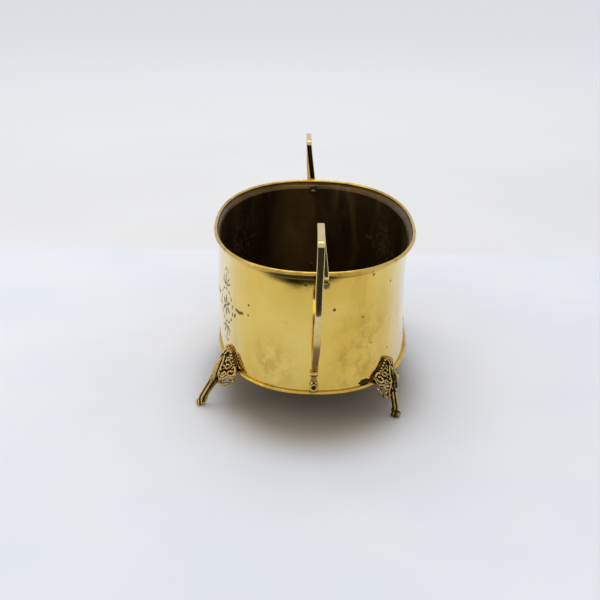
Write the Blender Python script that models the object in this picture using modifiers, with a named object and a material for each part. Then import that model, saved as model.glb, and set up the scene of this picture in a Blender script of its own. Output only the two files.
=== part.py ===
"""Brass planter pot: an oval sheet brass jardiniere with two strap handles and four cast scroll feet.

Metres, +Z up. The origin is on the ground at the middle of the pot. The long axis runs along Y,
and the handles stand at its two ends.
"""

import math

import bmesh
import bpy
from mathutils import Vector

# ---- driving dimensions -------------------------------------------------------------------------
GAP = 0.0003  # clearance between pieces that touch
RIM_WIDTH = 0.156  # across the rim, along X
RIM_LENGTH = 0.234  # along the rim, along Y
OVAL_POWER = 2.26  # 2 is an ellipse, more is squarer
WALL_HEIGHT = 0.094  # from the base seam to the top of the rim
FOOT_HEIGHT = 0.028  # from the ground to the base seam
SHEET = 0.0007  # sheet brass of the wall and the floor
RIM_BEAD_RADIUS = 0.0014
RIM_BEAD_WALL = 0.0005
BASE_BEAD_HEIGHT = 0.0026
BASE_BEAD_INSET = 0.0014  # its outer line, inside the rim's outer line
AROUND = 72  # points around the oval

WALL_INSET_TOP = RIM_BEAD_RADIUS - SHEET / 2  # outer face of the wall where it enters the rim bead
WALL_INSET_MIDDLE = 0.0048
WALL_INSET_BASE = 0.0042
FLARE_HEIGHT = 0.0068  # the wall flares out to the rim over its top part
FLARE_POWER = 1.5
WALL_LEAN = 0.0019  # the hand-formed wall sits this far towards -X at half height

STRAP_WIDTH = 0.0048
STRAP_THICKNESS = 0.0030
STRAP_ROUNDING = 0.0006
HANDLE_REACH = 0.0400  # outer face of the strap's upright outer arm, outside the rim
HANDLE_DROOP = 0.0010  # the top falls this much from the pot to the corner
KNEE_Z = 0.0920  # where the outer arm turns in towards the foot of the wall
KNEE_EASE = 0.0140
CORNER_EASE = 0.0028
CRANK_RISE = 0.0029  # the lug turns outward this far above its rivet, to clear the rim bead
ARM_CLEARANCE = 0.0003  # the inner arm stands this much further off the rim bead than the gap
TAIL_RISE = 0.0045  # the tail stands against the wall up to here above the lower rivet
BOSS_DEPTH = 0.0060
EYE_RADIUS = 0.0034
EYE_HOLE_RADIUS = 0.0017
EYE_PROUD = 0.00025  # the round eyes stand this much in front of the strap
HOLE_CUTTER_LENGTH = 0.024
UPPER_RIVET_DROP = 0.0094  # below the top of the rim
LOWER_RIVET_RISE = 0.0140  # above the base seam
LOWER_EYE_RISE = 0.0066
RIVET_RADIUS = 0.0012
RIVET_HEAD_RADIUS = 0.0022
RIVET_HEAD = 0.0010
TAB_WIDTH = 0.0066
TAB_HEIGHT = 0.0080
TAB_DROP = 0.0080  # middle of the tab, below the top of the rim
TAB_THICKNESS = 0.0010

PLAQUE_TOP = 0.0165  # above the base seam
PLAQUE_BOTTOM = -0.0125
PLAQUE_HALF_WIDTH = 0.0155
PLAQUE_TOP_HALF_WIDTH = 0.0056
PLAQUE_NECK_HALF_WIDTH = 0.0032
PLAQUE_THICKNESS = 0.0024
PLAQUE_BACK = 0.0019  # nearest that the casting's back comes to the wall, clear of its solder
PLAQUE_EDGE = 0.0044  # front of the casting's edge at the base seam, out from the wall
PLAQUE_UPPER_EDGE = 0.0029  # and above the seam, where the edge bends back to the wall
PLAQUE_BEND_HEIGHT = 0.0041  # how far above the seam's bead that bend is finished
PLAQUE_TOP_CROWN = 0.0014  # how far the spine still stands above the edge at the very top
TOE_LENGTH = 0.0082
TOE_WIDTH = 0.0060
TOE_HEIGHT = 0.0056
TOE_FLAT = 0.0006  # cut off under the toe
KNEE_SIZE = (0.0056, 0.0068, 0.0190)  # the smooth boss on the spine: out, along, up
KNEE_INSIDE = 0.0016  # its middle, behind the spine's front
LEG_INSIDE = 0.0030  # the leg's middle line, behind the spine's front
SOLDER_THICKNESS = 0.0013
SOLDER_MARGIN = 0.0004  # past the casting's edge, and into the wall before it is trimmed to it

BASE_Z = FOOT_HEIGHT
RIM_Z = FOOT_HEIGHT + WALL_HEIGHT
FLOOR_Z = BASE_Z + 0.0012  # underside of the floor plate
FLARE_END_Z = RIM_Z - 2 * RIM_BEAD_RADIUS - 0.0002  # the wall stands upright above here
HALF_WIDTH = RIM_WIDTH / 2
HALF_LENGTH = RIM_LENGTH / 2

# Each handle: its end of the pot, how high it stands above the rim, then how far its lug,
# its top and its foot stand off the middle.
HANDLES = {
    "near": (-1, 0.0360, 0.0068, 0.0020, 0.0000),
    "far": (1, 0.0350, 0.0000, -0.0050, 0.0000),
}
# Each foot: the place of its spine on the oval, how far it leans sideways for its height, how
# far the spine and then the toe stand out from the wall, and the way the toe points. The rear pair is the front pair turned half way round the pot,
# but its spread foot is bent out a little less.
FEET = {
    "front_left": (-144, 0.00, 0.0140, 0.0255, 202),
    "front_right": (-47, 0.33, 0.0115, 0.0125, 318),
    "rear_right": (36, 0.00, 0.0130, 0.0222, 22),
    "rear_left": (133, 0.33, 0.0115, 0.0125, 138),
}

BRASS = (0.72, 0.52, 0.20)
RIM_BRASS = (0.80, 0.58, 0.22)
CAST_BRASS = (0.55, 0.38, 0.13)
RIVET_BRASS = (0.50, 0.35, 0.14)
SOLDER_GREY = (0.06, 0.05, 0.04)


# ---- scene and object helpers -------------------------------------------------------------------
def clear_scene():
    for old in list(bpy.data.objects):
        bpy.data.objects.remove(old, do_unlink=True)


def new_collection(name):
    group = bpy.data.collections.new(name)
    bpy.context.scene.collection.children.link(group)
    return group


def brass_material(name, colour, roughness, metallic=1.0):
    material = bpy.data.materials.new(name)
    material.use_nodes = True
    shader = material.node_tree.nodes["Principled BSDF"]
    shader.inputs["Base Color"].default_value = (*colour, 1.0)
    shader.inputs["Roughness"].default_value = roughness
    shader.inputs["Metallic"].default_value = metallic
    return material


def mesh_object(name, mesh, group, material=None):
    made = bpy.data.objects.new(name, mesh)
    group.objects.link(made)
    if material:
        mesh.materials.append(material)
    return made


def as_cutter(made):
    made.hide_render = True
    made.display_type = "WIRE"
    return made


def finish_mesh(work, name):
    bmesh.ops.recalc_face_normals(work, faces=work.faces[:])
    mesh = bpy.data.meshes.new(name)
    work.to_mesh(mesh)
    work.free()
    return mesh


def shade(made, angle=35):
    made.data.shade_smooth()
    made.data.set_sharp_from_angle(angle=math.radians(angle))


def add_boolean(made, other, operation):
    cut = made.modifiers.new(operation.lower(), "BOOLEAN")
    cut.operation = operation
    cut.solver = "EXACT"
    cut.object = other


def curve_to_mesh(curve_object, name, group, material=None):
    """The evaluated curve as a mesh with its caps welded, in place of the curve."""
    graph = bpy.context.evaluated_depsgraph_get()
    mesh = bpy.data.meshes.new_from_object(curve_object.evaluated_get(graph))
    mesh.name = name
    mesh.materials.clear()
    place = curve_object.matrix_world.copy()
    bpy.data.objects.remove(curve_object)
    work = bmesh.new()
    work.from_mesh(mesh)
    bmesh.ops.remove_doubles(work, verts=work.verts[:], dist=0.00001)
    bmesh.ops.recalc_face_normals(work, faces=work.faces[:])
    work.to_mesh(mesh)
    work.free()
    made = mesh_object(name, mesh, group, material)
    made.matrix_world = place
    return made


# ---- the oval -----------------------------------------------------------------------------------
def signed_power(value, power):
    return math.copysign(abs(value) ** power, value)


def oval_point(degrees, inset=0.0):
    """A point on the rim's outer line moved in along its normal, and that normal."""
    turn = math.radians(degrees)
    x = HALF_WIDTH * signed_power(math.cos(turn), 2 / OVAL_POWER)
    y = HALF_LENGTH * signed_power(math.sin(turn), 2 / OVAL_POWER)
    normal = Vector((
        signed_power(x / HALF_WIDTH, OVAL_POWER - 1) / HALF_WIDTH,
        signed_power(y / HALF_LENGTH, OVAL_POWER - 1) / HALF_LENGTH,
        0,
    )).normalized()
    return Vector((x, y, 0)) - normal * inset, normal


def oval_from(degrees, arc, inset):
    """The point and normal at a distance along the oval from a given place on it."""
    step = 0.25 if arc > 0 else -0.25
    here, normal = oval_point(degrees, inset)
    travelled = 0.0
    while travelled < abs(arc):
        degrees += step
        there, normal = oval_point(degrees, inset)
        length = (there - here).length
        if travelled + length > abs(arc):
            share = (abs(arc) - travelled) / length
            return here.lerp(there, share), normal
        travelled += length
        here = there
    return here, normal


def loft_around(name, section, closed):
    """Sweeps a section of (inset, height) points around the oval."""
    work = bmesh.new()
    rings = []
    for inset, height in section:
        ring = []
        for k in range(AROUND):
            point, _ = oval_point(360 * k / AROUND, inset)
            ring.append(work.verts.new((point.x - wall_lean(height), point.y, height)))
        rings.append(ring)
    pairs = list(zip(rings, rings[1:]))
    if closed:
        pairs.append((rings[-1], rings[0]))
    for low, high in pairs:
        for k in range(AROUND):
            after = (k + 1) % AROUND
            work.faces.new((low[k], low[after], high[after], high[k]))
    return finish_mesh(work, name)


def loft_solid(name, section):
    """An oval solid whose outside follows a section of (inset, height) points."""
    work = bmesh.new()
    work.from_mesh(loft_around(name, section, closed=False))
    bmesh.ops.holes_fill(work, edges=[edge for edge in work.edges if edge.is_boundary])
    return finish_mesh(work, name)


def wall_inset(height):
    """How far the wall's outer face lies inside the rim's outer line, at a height over the ground."""
    flare_start = RIM_Z - FLARE_HEIGHT
    if height >= flare_start:
        rise = min((height - flare_start) / (FLARE_END_Z - flare_start), 1.0)
        return WALL_INSET_MIDDLE + (WALL_INSET_TOP - WALL_INSET_MIDDLE) * rise**FLARE_POWER
    share = (height - BASE_Z) / (flare_start - BASE_Z)
    return WALL_INSET_BASE + (WALL_INSET_MIDDLE - WALL_INSET_BASE) * math.sin(share * math.pi / 2)


def wall_lean(height):
    """How far the wall stands towards -X at a height: nothing at the base seam and at the rim."""
    share = (height - BASE_Z - BASE_BEAD_HEIGHT) / (FLARE_END_Z - BASE_Z - BASE_BEAD_HEIGHT)
    return WALL_LEAN * math.sin(math.pi * min(max(share, 0), 1)) ** 0.6


def wall_heights():
    top = RIM_Z - RIM_BEAD_RADIUS
    flare_start = RIM_Z - FLARE_HEIGHT
    bottom = BASE_Z + 0.0002
    straight = [bottom + (flare_start - bottom) * share for share in (0, 0.33, 0.66, 1)]
    flare = FLARE_END_Z - flare_start
    flared = [flare_start + flare * share for share in (0.28, 0.5, 0.7, 0.86, 1)]
    return straight + flared + [top]


# ---- body ---------------------------------------------------------------------------------------
def make_core(group):
    """A cutter with the pot's outside, a gap larger, that trims what is fixed against the pot."""
    section = []
    bead_top = BASE_Z + BASE_BEAD_HEIGHT + GAP
    bead_inset = BASE_BEAD_INSET - GAP
    section.append((bead_inset, BASE_Z - GAP))
    section.append((bead_inset, bead_top - 0.0008))
    section.append((bead_inset + 0.0010, bead_top))
    section.append((wall_inset(bead_top) - GAP, bead_top + 0.0001))
    section += [(wall_inset(z) - GAP, z) for z in wall_heights()[1:-1]]
    lip = RIM_BEAD_RADIUS + GAP
    for k in range(7):
        turn = math.radians(-75 + 165 * k / 6)
        section.append((
            RIM_BEAD_RADIUS - lip * math.cos(turn),
            RIM_Z - RIM_BEAD_RADIUS + lip * math.sin(turn),
        ))
    return as_cutter(mesh_object("pot_outside", loft_solid("pot_outside", section), group))


def disc_along_y(name, place, radius, depth, sides, turn, group):
    """A cylinder along Y, turned about its own axis."""
    work = bmesh.new()
    bmesh.ops.create_cone(
        work, cap_ends=True, segments=sides, radius1=radius, radius2=radius, depth=depth
    )
    disc = mesh_object(name, finish_mesh(work, name), group)
    disc.rotation_euler = (math.pi / 2, turn, 0)
    disc.location = place
    return as_cutter(disc)


def hole_cutter(name, x, y, z, radius, group):
    return disc_along_y(name, (x, y, z), radius, HOLE_CUTTER_LENGTH, 12, 0, group)


def make_wall(group, cutters, material):
    section = [(wall_inset(z), z) for z in wall_heights()]
    wall = mesh_object("wall_band", loft_around("wall_band", section, closed=False), group, material)
    sheet = wall.modifiers.new("sheet", "SOLIDIFY")
    sheet.thickness = SHEET
    sheet.offset = -1
    sheet.use_even_offset = True
    radius = RIVET_RADIUS + GAP
    for end, (side, _, lug_x, _, foot_x) in HANDLES.items():
        y = side * HALF_LENGTH
        for place, x, z in (
            ("upper", lug_x, RIM_Z - UPPER_RIVET_DROP),
            ("lower", foot_x, BASE_Z + LOWER_RIVET_RISE),
        ):
            hole = hole_cutter(f"wall_hole_{place}_{end}", x, y, z, radius, cutters)
            add_boolean(wall, hole, "DIFFERENCE")
    shade(wall)


def make_rim_bead(group, material):
    """A split tube that stands over the top edge of the wall."""
    centre_z = RIM_Z - RIM_BEAD_RADIUS
    inner = RIM_BEAD_RADIUS - RIM_BEAD_WALL
    half_slot = SHEET / 2 + GAP
    start = math.asin(half_slot / inner)
    section = []
    for radius, count, forward in ((RIM_BEAD_RADIUS, 10, True), (inner, 5, False)):
        for k in range(count):
            share = k / (count - 1)
            share = share if forward else 1 - share
            turn = -math.pi / 2 + start + (2 * math.pi - 2 * start) * share
            section.append((
                RIM_BEAD_RADIUS - radius * math.cos(turn),
                centre_z + radius * math.sin(turn),
            ))
    shade(mesh_object("rim_bead", loft_around("rim_bead", section, closed=True), group, material))


def make_base_bead(group, material):
    """The half-round seam around the foot of the wall."""
    middle = BASE_Z + BASE_BEAD_HEIGHT / 2
    back = WALL_INSET_BASE - GAP
    bulge = back - BASE_BEAD_INSET
    section = [(back, BASE_Z)]
    for k in range(5):
        turn = math.radians(-90 + 180 * k / 4)
        section.append((
            back - bulge * (0.45 + 0.55 * math.cos(turn)),
            middle + BASE_BEAD_HEIGHT / 2 * math.sin(turn),
        ))
    section.append((back, BASE_Z + BASE_BEAD_HEIGHT))
    shade(mesh_object("base_bead", loft_around("base_bead", section, closed=True), group, material))


def make_floor(group, material):
    """A flat oval sheet inside the foot of the wall."""
    outline = bpy.data.curves.new("floor_plate", "CURVE")
    outline.dimensions = "2D"
    outline.fill_mode = "BOTH"
    outline.extrude = SHEET / 2
    edge = outline.splines.new("POLY")
    edge.points.add(AROUND - 1)
    edge.use_cyclic_u = True
    for k in range(AROUND):
        point, _ = oval_point(360 * k / AROUND, WALL_INSET_BASE + SHEET + GAP + 0.0002)
        edge.points[k].co = (point.x, point.y, 0, 1)
    sheet = bpy.data.objects.new("floor_outline", outline)
    group.objects.link(sheet)
    plate = curve_to_mesh(sheet, "floor_plate", group, material)
    plate.location = (0, 0, FLOOR_Z + SHEET / 2)


# ---- handles ------------------------------------------------------------------------------------
def ribbon_outline(path, thickness):
    """The outline of a strip of even thickness along a path of (outward, height) points."""
    left, right = [], []
    for k, here in enumerate(path):
        back = (here - path[max(k - 1, 0)]).normalized() if k else None
        ahead = (path[min(k + 1, len(path) - 1)] - here).normalized() if k < len(path) - 1 else None
        along = ((back or ahead) + (ahead or back)).normalized()
        side = Vector((-along.y, along.x))
        run = back or ahead
        mitre = thickness / 2 / max(side.dot(Vector((-run.y, run.x))), 0.5)
        left.append(here + side * mitre)
        right.append(here - side * mitre)
    return left + right[::-1]


def handle_path(handle_rise):
    """The strap's middle line, outward from the rim's outer line, with the corners eased."""
    half = STRAP_THICKNESS / 2
    arm = half + GAP + ARM_CLEARANCE
    lug = half + GAP - wall_inset(RIM_Z - UPPER_RIVET_DROP)
    tail = half + GAP - WALL_INSET_BASE - 0.0001
    tail_top = BASE_Z + LOWER_RIVET_RISE + TAIL_RISE
    top = RIM_Z + handle_rise - half
    lug_z = RIM_Z - UPPER_RIVET_DROP
    corners = [
        (lug, lug_z - 0.0010, 0),
        (lug, lug_z + CRANK_RISE, 0),
        (arm, RIM_Z - RIM_BEAD_RADIUS * 2, 0),
        (arm, top, CORNER_EASE),
        (HANDLE_REACH - half, top - HANDLE_DROOP, CORNER_EASE),
        (HANDLE_REACH - half, KNEE_Z, KNEE_EASE),
        (tail, tail_top, CORNER_EASE),
        (tail, BASE_Z + LOWER_EYE_RISE, 0),
    ]
    points = [Vector(corner[:2]) for corner in corners]
    path = [points[0]]
    for before, here, after, (_, _, ease) in zip(points, points[1:], points[2:], corners[1:]):
        if not ease:
            path.append(here)
            continue
        start = here + (before - here).normalized() * ease
        end = here + (after - here).normalized() * ease
        count = 7 if ease == KNEE_EASE else 4
        for k in range(count):
            share = k / (count - 1)
            path.append(start.lerp(here, share).lerp(here.lerp(end, share), share))
    path.append(points[-1])
    return path


def lean_handle(mesh, end):
    """Shears the flat strap, arm by arm, so that it leans as a hand-fitted handle does."""
    side, handle_rise, lug_x, top_x, foot_x = HANDLES[end]
    lug_z = RIM_Z - UPPER_RIVET_DROP
    inner_reach = 2.4 * STRAP_THICKNESS
    for vertex in mesh.vertices:
        out, z = side * vertex.co.y - HALF_LENGTH, vertex.co.z
        rise = (z - lug_z) / (handle_rise + UPPER_RIVET_DROP)
        drop = (z - BASE_Z) / (WALL_HEIGHT + handle_rise)
        inner = lug_x + (top_x - lug_x) * min(max(rise, 0), 1)
        outer = foot_x + (top_x - foot_x) * min(max(drop, 0), 1)
        share = min(max((out - inner_reach) / (HANDLE_REACH * 0.6), 0), 1)
        below_lug = z < lug_z - 2 * EYE_RADIUS
        vertex.co.x += outer if below_lug else inner + (outer - inner) * share


def make_handle(end, group, cutters, core, material):
    side, handle_rise, lug_x, top_x, foot_x = HANDLES[end]
    outline = bpy.data.curves.new(f"strap_{end}", "CURVE")
    outline.dimensions = "2D"
    outline.fill_mode = "BOTH"
    outline.extrude = STRAP_WIDTH / 2
    edge = outline.splines.new("POLY")
    points = ribbon_outline(handle_path(handle_rise), STRAP_THICKNESS)
    edge.points.add(len(points) - 1)
    edge.use_cyclic_u = True
    for k, point in enumerate(points):
        edge.points[k].co = (point.x, point.y, 0, 1)
    strip = bpy.data.objects.new(f"strap_{end}", outline)
    group.objects.link(strip)
    name = f"handle_{end}"
    handle = curve_to_mesh(strip, name, group, material)
    for vertex in handle.data.vertices:
        out, height, across = vertex.co
        vertex.co = (side * across, side * (HALF_LENGTH + out), height)
    lean_handle(handle.data, end)
    rounding = handle.modifiers.new("rounded_edges", "BEVEL")
    rounding.width = STRAP_ROUNDING
    rounding.segments = 2
    rounding.limit_method = "ANGLE"
    rounding.angle_limit = math.radians(50)
    lug_z = RIM_Z - UPPER_RIVET_DROP
    rivet_z = BASE_Z + LOWER_RIVET_RISE
    eye_z = BASE_Z + LOWER_EYE_RISE
    front = STRAP_THICKNESS + GAP + EYE_PROUD - BOSS_DEPTH / 2
    lug_y = side * (HALF_LENGTH - wall_inset(lug_z) + front)
    eye_y = side * (HALF_LENGTH - WALL_INSET_BASE + front)
    for place, x, y, z in (("lug", lug_x, lug_y, lug_z), ("eye", foot_x, eye_y, eye_z)):
        # The disc is turned a little, so that its facets meet the strap's sides cleanly.
        boss = disc_along_y(f"{place}_{end}", (x, y, z), EYE_RADIUS, BOSS_DEPTH, 20, 0.06, cutters)
        add_boolean(handle, boss, "UNION")
    add_boolean(handle, core, "DIFFERENCE")
    for place, x, z, radius in (
        ("upper_hole", lug_x, lug_z, RIVET_RADIUS + GAP),
        ("lower_hole", foot_x, rivet_z, RIVET_RADIUS + GAP),
        ("eye_hole", foot_x, eye_z, EYE_HOLE_RADIUS),
    ):
        cutter = hole_cutter(f"{place}_{end}", x, side * HALF_LENGTH, z, radius, cutters)
        add_boolean(handle, cutter, "DIFFERENCE")
    shade(handle, 40)


def make_rivet(name, side, x, z, inner_y, outer_y, group, material):
    """A turned rivet along Y, with a head on each side of what it holds."""
    grip = outer_y - inner_y + 2 * GAP
    top = grip + RIVET_HEAD
    profile = [
        (0.0, top),
        (RIVET_HEAD_RADIUS * 0.55, top - RIVET_HEAD * 0.12),
        (RIVET_HEAD_RADIUS * 0.88, top - RIVET_HEAD * 0.5),
        (RIVET_HEAD_RADIUS, grip),
        (RIVET_RADIUS, grip),
        (RIVET_RADIUS, 0.0),
        (RIVET_HEAD_RADIUS, 0.0),
        (RIVET_HEAD_RADIUS * 0.88, -RIVET_HEAD * 0.5),
        (RIVET_HEAD_RADIUS * 0.55, -RIVET_HEAD * 0.88),
        (0.0, -RIVET_HEAD),
    ]
    mesh = bpy.data.meshes.new(name)
    edges = [(k, k + 1) for k in range(len(profile) - 1)]
    mesh.from_pydata([(radius, 0, height) for radius, height in profile], edges, [])
    rivet = mesh_object(name, mesh, group, material)
    turned = rivet.modifiers.new("turned", "SCREW")
    turned.steps = turned.render_steps = 12
    turned.use_merge_vertices = True
    turned.merge_threshold = 0.00001
    rivet.rotation_euler = (-side * math.pi / 2, 0, 0)
    rivet.location = (x, side * (inner_y - GAP), z)
    shade(rivet)


def end_drop(x):
    """How far the oval's end has curved back at a distance off the middle plane."""
    return HALF_LENGTH * (1 - (1 - (abs(x) / HALF_WIDTH) ** OVAL_POWER) ** (1 / OVAL_POWER))


def tab_place(end):
    """The inner face's distance from the middle, and the tab's middle, clear of the leaning wall."""
    side, _, lug_x, _, _ = HANDLES[end]
    tab_z = RIM_Z - TAB_DROP
    lowest = tab_z - TAB_HEIGHT / 2
    curve = end_drop(abs(lug_x) + TAB_WIDTH / 2 + WALL_LEAN)
    back = HALF_LENGTH - wall_inset(lowest) - SHEET - GAP - curve - 0.0001
    return back - TAB_THICKNESS, (lug_x, side * (back - TAB_THICKNESS / 2), tab_z)


def make_tab(end, group, cutters, material):
    """The square plate inside the rim that spreads the upper rivet's pull."""
    side, _, lug_x, _, _ = HANDLES[end]
    work = bmesh.new()
    bmesh.ops.create_cube(work, size=1)
    bmesh.ops.scale(work, verts=work.verts[:], vec=(TAB_WIDTH, TAB_THICKNESS, TAB_HEIGHT))
    name = f"rivet_tab_{end}"
    tab = mesh_object(name, finish_mesh(work, name), group, material)
    tab.location = tab_place(end)[1]
    softened = tab.modifiers.new("softened", "BEVEL")
    softened.width = 0.0003
    softened.segments = 2
    y, z = side * HALF_LENGTH, RIM_Z - UPPER_RIVET_DROP
    hole = hole_cutter(f"tab_hole_{end}", lug_x, y, z, RIVET_RADIUS + GAP, cutters)
    add_boolean(tab, hole, "DIFFERENCE")


def make_rivets(end, group, material):
    side, _, lug_x, _, foot_x = HANDLES[end]
    lug_z, rivet_z = RIM_Z - UPPER_RIVET_DROP, BASE_Z + LOWER_RIVET_RISE
    tab_inner = tab_place(end)[0]
    lug_outer = HALF_LENGTH - wall_inset(lug_z) + STRAP_THICKNESS + GAP + EYE_PROUD
    tail_outer = HALF_LENGTH - WALL_INSET_BASE + STRAP_THICKNESS + GAP + 0.0010
    wall_inner = HALF_LENGTH - WALL_INSET_BASE - SHEET - 0.0006
    make_rivet(f"upper_rivet_{end}", side, lug_x, lug_z, tab_inner, lug_outer, group, material)
    make_rivet(f"lower_rivet_{end}", side, foot_x, rivet_z, wall_inner, tail_outer, group, material)


# ---- feet ---------------------------------------------------------------------------------------
def plaque_half_width(height):
    """Half the casting's width at a height over the base seam: narrow top, wide shoulders, a neck."""
    if height > 0:
        share = 1 - min(height / PLAQUE_TOP, 1.0)
        return PLAQUE_TOP_HALF_WIDTH + (PLAQUE_HALF_WIDTH - PLAQUE_TOP_HALF_WIDTH) * share**1.4
    share = 1 - min(height / PLAQUE_BOTTOM, 1.0)
    return PLAQUE_NECK_HALF_WIDTH + (PLAQUE_HALF_WIDTH - PLAQUE_NECK_HALF_WIDTH) * share**1.1


def plaque_front(across, height, spine_out):
    """How far out from the wall the casting's front stands. across runs from -1 to 1."""
    rise = min(max(height / PLAQUE_TOP, 0), 1)
    spine = spine_out + (PLAQUE_UPPER_EDGE + PLAQUE_TOP_CROWN - spine_out) * rise
    bend = min(max((height - BASE_BEAD_HEIGHT) / PLAQUE_BEND_HEIGHT, 0), 1)
    edge = PLAQUE_EDGE + (PLAQUE_UPPER_EDGE - PLAQUE_EDGE) * bend
    return edge + (spine - edge) * (1 - min(abs(across), 1.0) ** 1.5)


def on_wall(centre, along, out, height):
    """World place from a distance along the wall, out from it and over the base seam."""
    z = BASE_Z + height
    point, normal = oval_from(centre, along, WALL_INSET_BASE)
    place = point + normal * out
    return Vector((place.x - wall_lean(z), place.y, z))


def curved_slab(name, columns, rows, place):
    """A closed slab that follows the wall. place(across, rise, front) gives each point."""
    work = bmesh.new()
    bmesh.ops.create_grid(work, x_segments=columns, y_segments=rows, size=1)
    front = work.verts[:]
    shares = [(vertex.co.x, (vertex.co.y + 1) / 2) for vertex in front]
    made = bmesh.ops.extrude_face_region(work, geom=work.faces[:])
    back = [item for item in made["geom"] if isinstance(item, bmesh.types.BMVert)]
    for vertex in back:
        across, rise = vertex.co.x, (vertex.co.y + 1) / 2
        vertex.co = place(across, rise, False)
    for vertex, (across, rise) in zip(front, shares):
        vertex.co = place(across, rise, True)
    return finish_mesh(work, name)


def make_plaque(name, centre, lean, spine_out):
    """The casting's domed front plate, thinned at its edges to stay clear of the solder."""

    def place(across, rise, front):
        height = PLAQUE_BOTTOM + (PLAQUE_TOP - PLAQUE_BOTTOM) * rise
        along = across * plaque_half_width(height) + lean * height
        out = plaque_front(across, height, spine_out)
        if not front:
            out = max(out - PLAQUE_THICKNESS, PLAQUE_BACK)
        return on_wall(centre, along, out, height)

    return curved_slab(name, 12, 9, place)


def leg_path(centre, spine_out, reach, heading):
    """The middle line of the leg, from inside the plaque to the toe, with its radius, and the toe."""
    attach, normal = oval_point(centre, WALL_INSET_BASE)
    pointing = Vector((math.cos(math.radians(heading)), math.sin(math.radians(heading)), 0))
    middle = spine_out - LEG_INSIDE
    # Each station: height over the base seam, distance out from the wall, radius.
    stations = (
        (0.0080, middle - 0.0012, 0.0026),
        (-0.0020, middle + (reach - middle) * 0.08, 0.0036),
        (-0.0085, middle + (reach - middle) * 0.28, 0.0033),
        (-0.0145, middle + (reach - middle) * 0.56, 0.0027),
        (-0.0200, middle + (reach - middle) * 0.80, 0.0025),
        (-0.0243, reach - 0.0020, 0.0025),
    )
    path = []
    for height, out, radius in stations:
        turn = min(max(-height / FOOT_HEIGHT, 0), 1)
        way = normal.lerp(pointing, turn).normalized()
        place = attach + way * out
        path.append((Vector((place.x, place.y, BASE_Z + height)), radius))
    return path, attach + pointing * reach


def make_leg(name, path, group):
    curve = bpy.data.curves.new(name, "CURVE")
    curve.dimensions = "3D"
    curve.bevel_depth = 1.0
    curve.bevel_resolution = 2
    curve.resolution_u = 3
    curve.use_fill_caps = True
    line = curve.splines.new("NURBS")
    line.points.add(len(path) - 1)
    line.use_endpoint_u = True
    line.order_u = 3
    for k, (place, radius) in enumerate(path):
        line.points[k].co = (*place, 1)
        line.points[k].radius = radius
    made = bpy.data.objects.new(name, curve)
    group.objects.link(made)
    return as_cutter(curve_to_mesh(made, name, group))


def make_ball(name, place, size, heading, group):
    """A rounded lump with its length along a heading."""
    work = bmesh.new()
    bmesh.ops.create_uvsphere(work, u_segments=14, v_segments=9, radius=0.5)
    bmesh.ops.scale(work, verts=work.verts[:], vec=size)
    ball = mesh_object(name, finish_mesh(work, name), group)
    ball.rotation_euler = (0, 0, math.radians(heading))
    ball.location = place
    return as_cutter(ball)


def make_foot(label, group, cutters, core, ground, material):
    centre, lean, spine_out, reach, heading = FEET[label]
    name = f"foot_{label}"
    foot = mesh_object(name, make_plaque(name, centre, lean, spine_out), group, material)
    path, toe = leg_path(centre, spine_out, reach, heading)
    add_boolean(foot, make_leg(f"leg_{label}", path, cutters), "UNION")
    toe_place = Vector((toe.x, toe.y, TOE_HEIGHT / 2 - TOE_FLAT))
    toe_size = (TOE_LENGTH, TOE_WIDTH, TOE_HEIGHT)
    add_boolean(foot, make_ball(f"toe_{label}", toe_place, toe_size, heading, cutters), "UNION")
    normal = oval_point(centre)[1]
    facing = math.degrees(math.atan2(normal.y, normal.x))
    knee_place = on_wall(centre, 0, spine_out - KNEE_INSIDE, 0)
    knee = make_ball(f"knee_{label}", knee_place, KNEE_SIZE, facing, cutters)
    add_boolean(foot, knee, "UNION")
    add_boolean(foot, core, "DIFFERENCE")
    add_boolean(foot, ground, "DIFFERENCE")
    shade(foot, 50)


def make_solder(label, group, core, material):
    """The bed of solder between the wall and the back of a foot casting."""
    centre, lean = FEET[label][:2]
    low, high = BASE_BEAD_HEIGHT + 2 * GAP, PLAQUE_TOP - SOLDER_MARGIN

    def place(across, rise, front):
        height = low + (high - low) * rise
        along = across * (plaque_half_width(height) + SOLDER_MARGIN) + lean * height
        out = SOLDER_THICKNESS + GAP if front else -SOLDER_MARGIN
        return on_wall(centre, along, out, height)

    name = f"solder_{label}"
    bed = mesh_object(name, curved_slab(name, 10, 4, place), group, material)
    add_boolean(bed, core, "DIFFERENCE")
    shade(bed)


def make_ground(group):
    """A cutter below the ground that flattens the toes."""
    work = bmesh.new()
    bmesh.ops.create_cube(work, size=1)
    bmesh.ops.scale(work, verts=work.verts[:], vec=(0.4, 0.5, 0.01))
    bmesh.ops.translate(work, verts=work.verts[:], vec=(0, 0, -0.005))
    return as_cutter(mesh_object("ground", finish_mesh(work, "ground"), group))


def main():
    clear_scene()
    pot = new_collection("brass_planter_pot")
    cutters = new_collection("cutters")
    sheet_brass = brass_material("sheet_brass", BRASS, 0.18)
    rim_brass = brass_material("rim_brass", RIM_BRASS, 0.15)
    cast_brass = brass_material("cast_brass", CAST_BRASS, 0.32)
    rivet_brass = brass_material("rivet_brass", RIVET_BRASS, 0.35)
    solder = brass_material("soft_solder", SOLDER_GREY, 0.7, 0.3)
    core = make_core(cutters)
    ground = make_ground(cutters)
    make_wall(pot, cutters, sheet_brass)
    make_floor(pot, sheet_brass)
    make_rim_bead(pot, rim_brass)
    make_base_bead(pot, rim_brass)
    for end in HANDLES:
        make_handle(end, pot, cutters, core, rim_brass)
        make_tab(end, pot, cutters, rivet_brass)
        make_rivets(end, pot, rivet_brass)
    for label in FEET:
        make_foot(label, pot, cutters, core, ground, cast_brass)
        make_solder(label, pot, core, solder)


main()
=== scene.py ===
import math
import random

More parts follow.
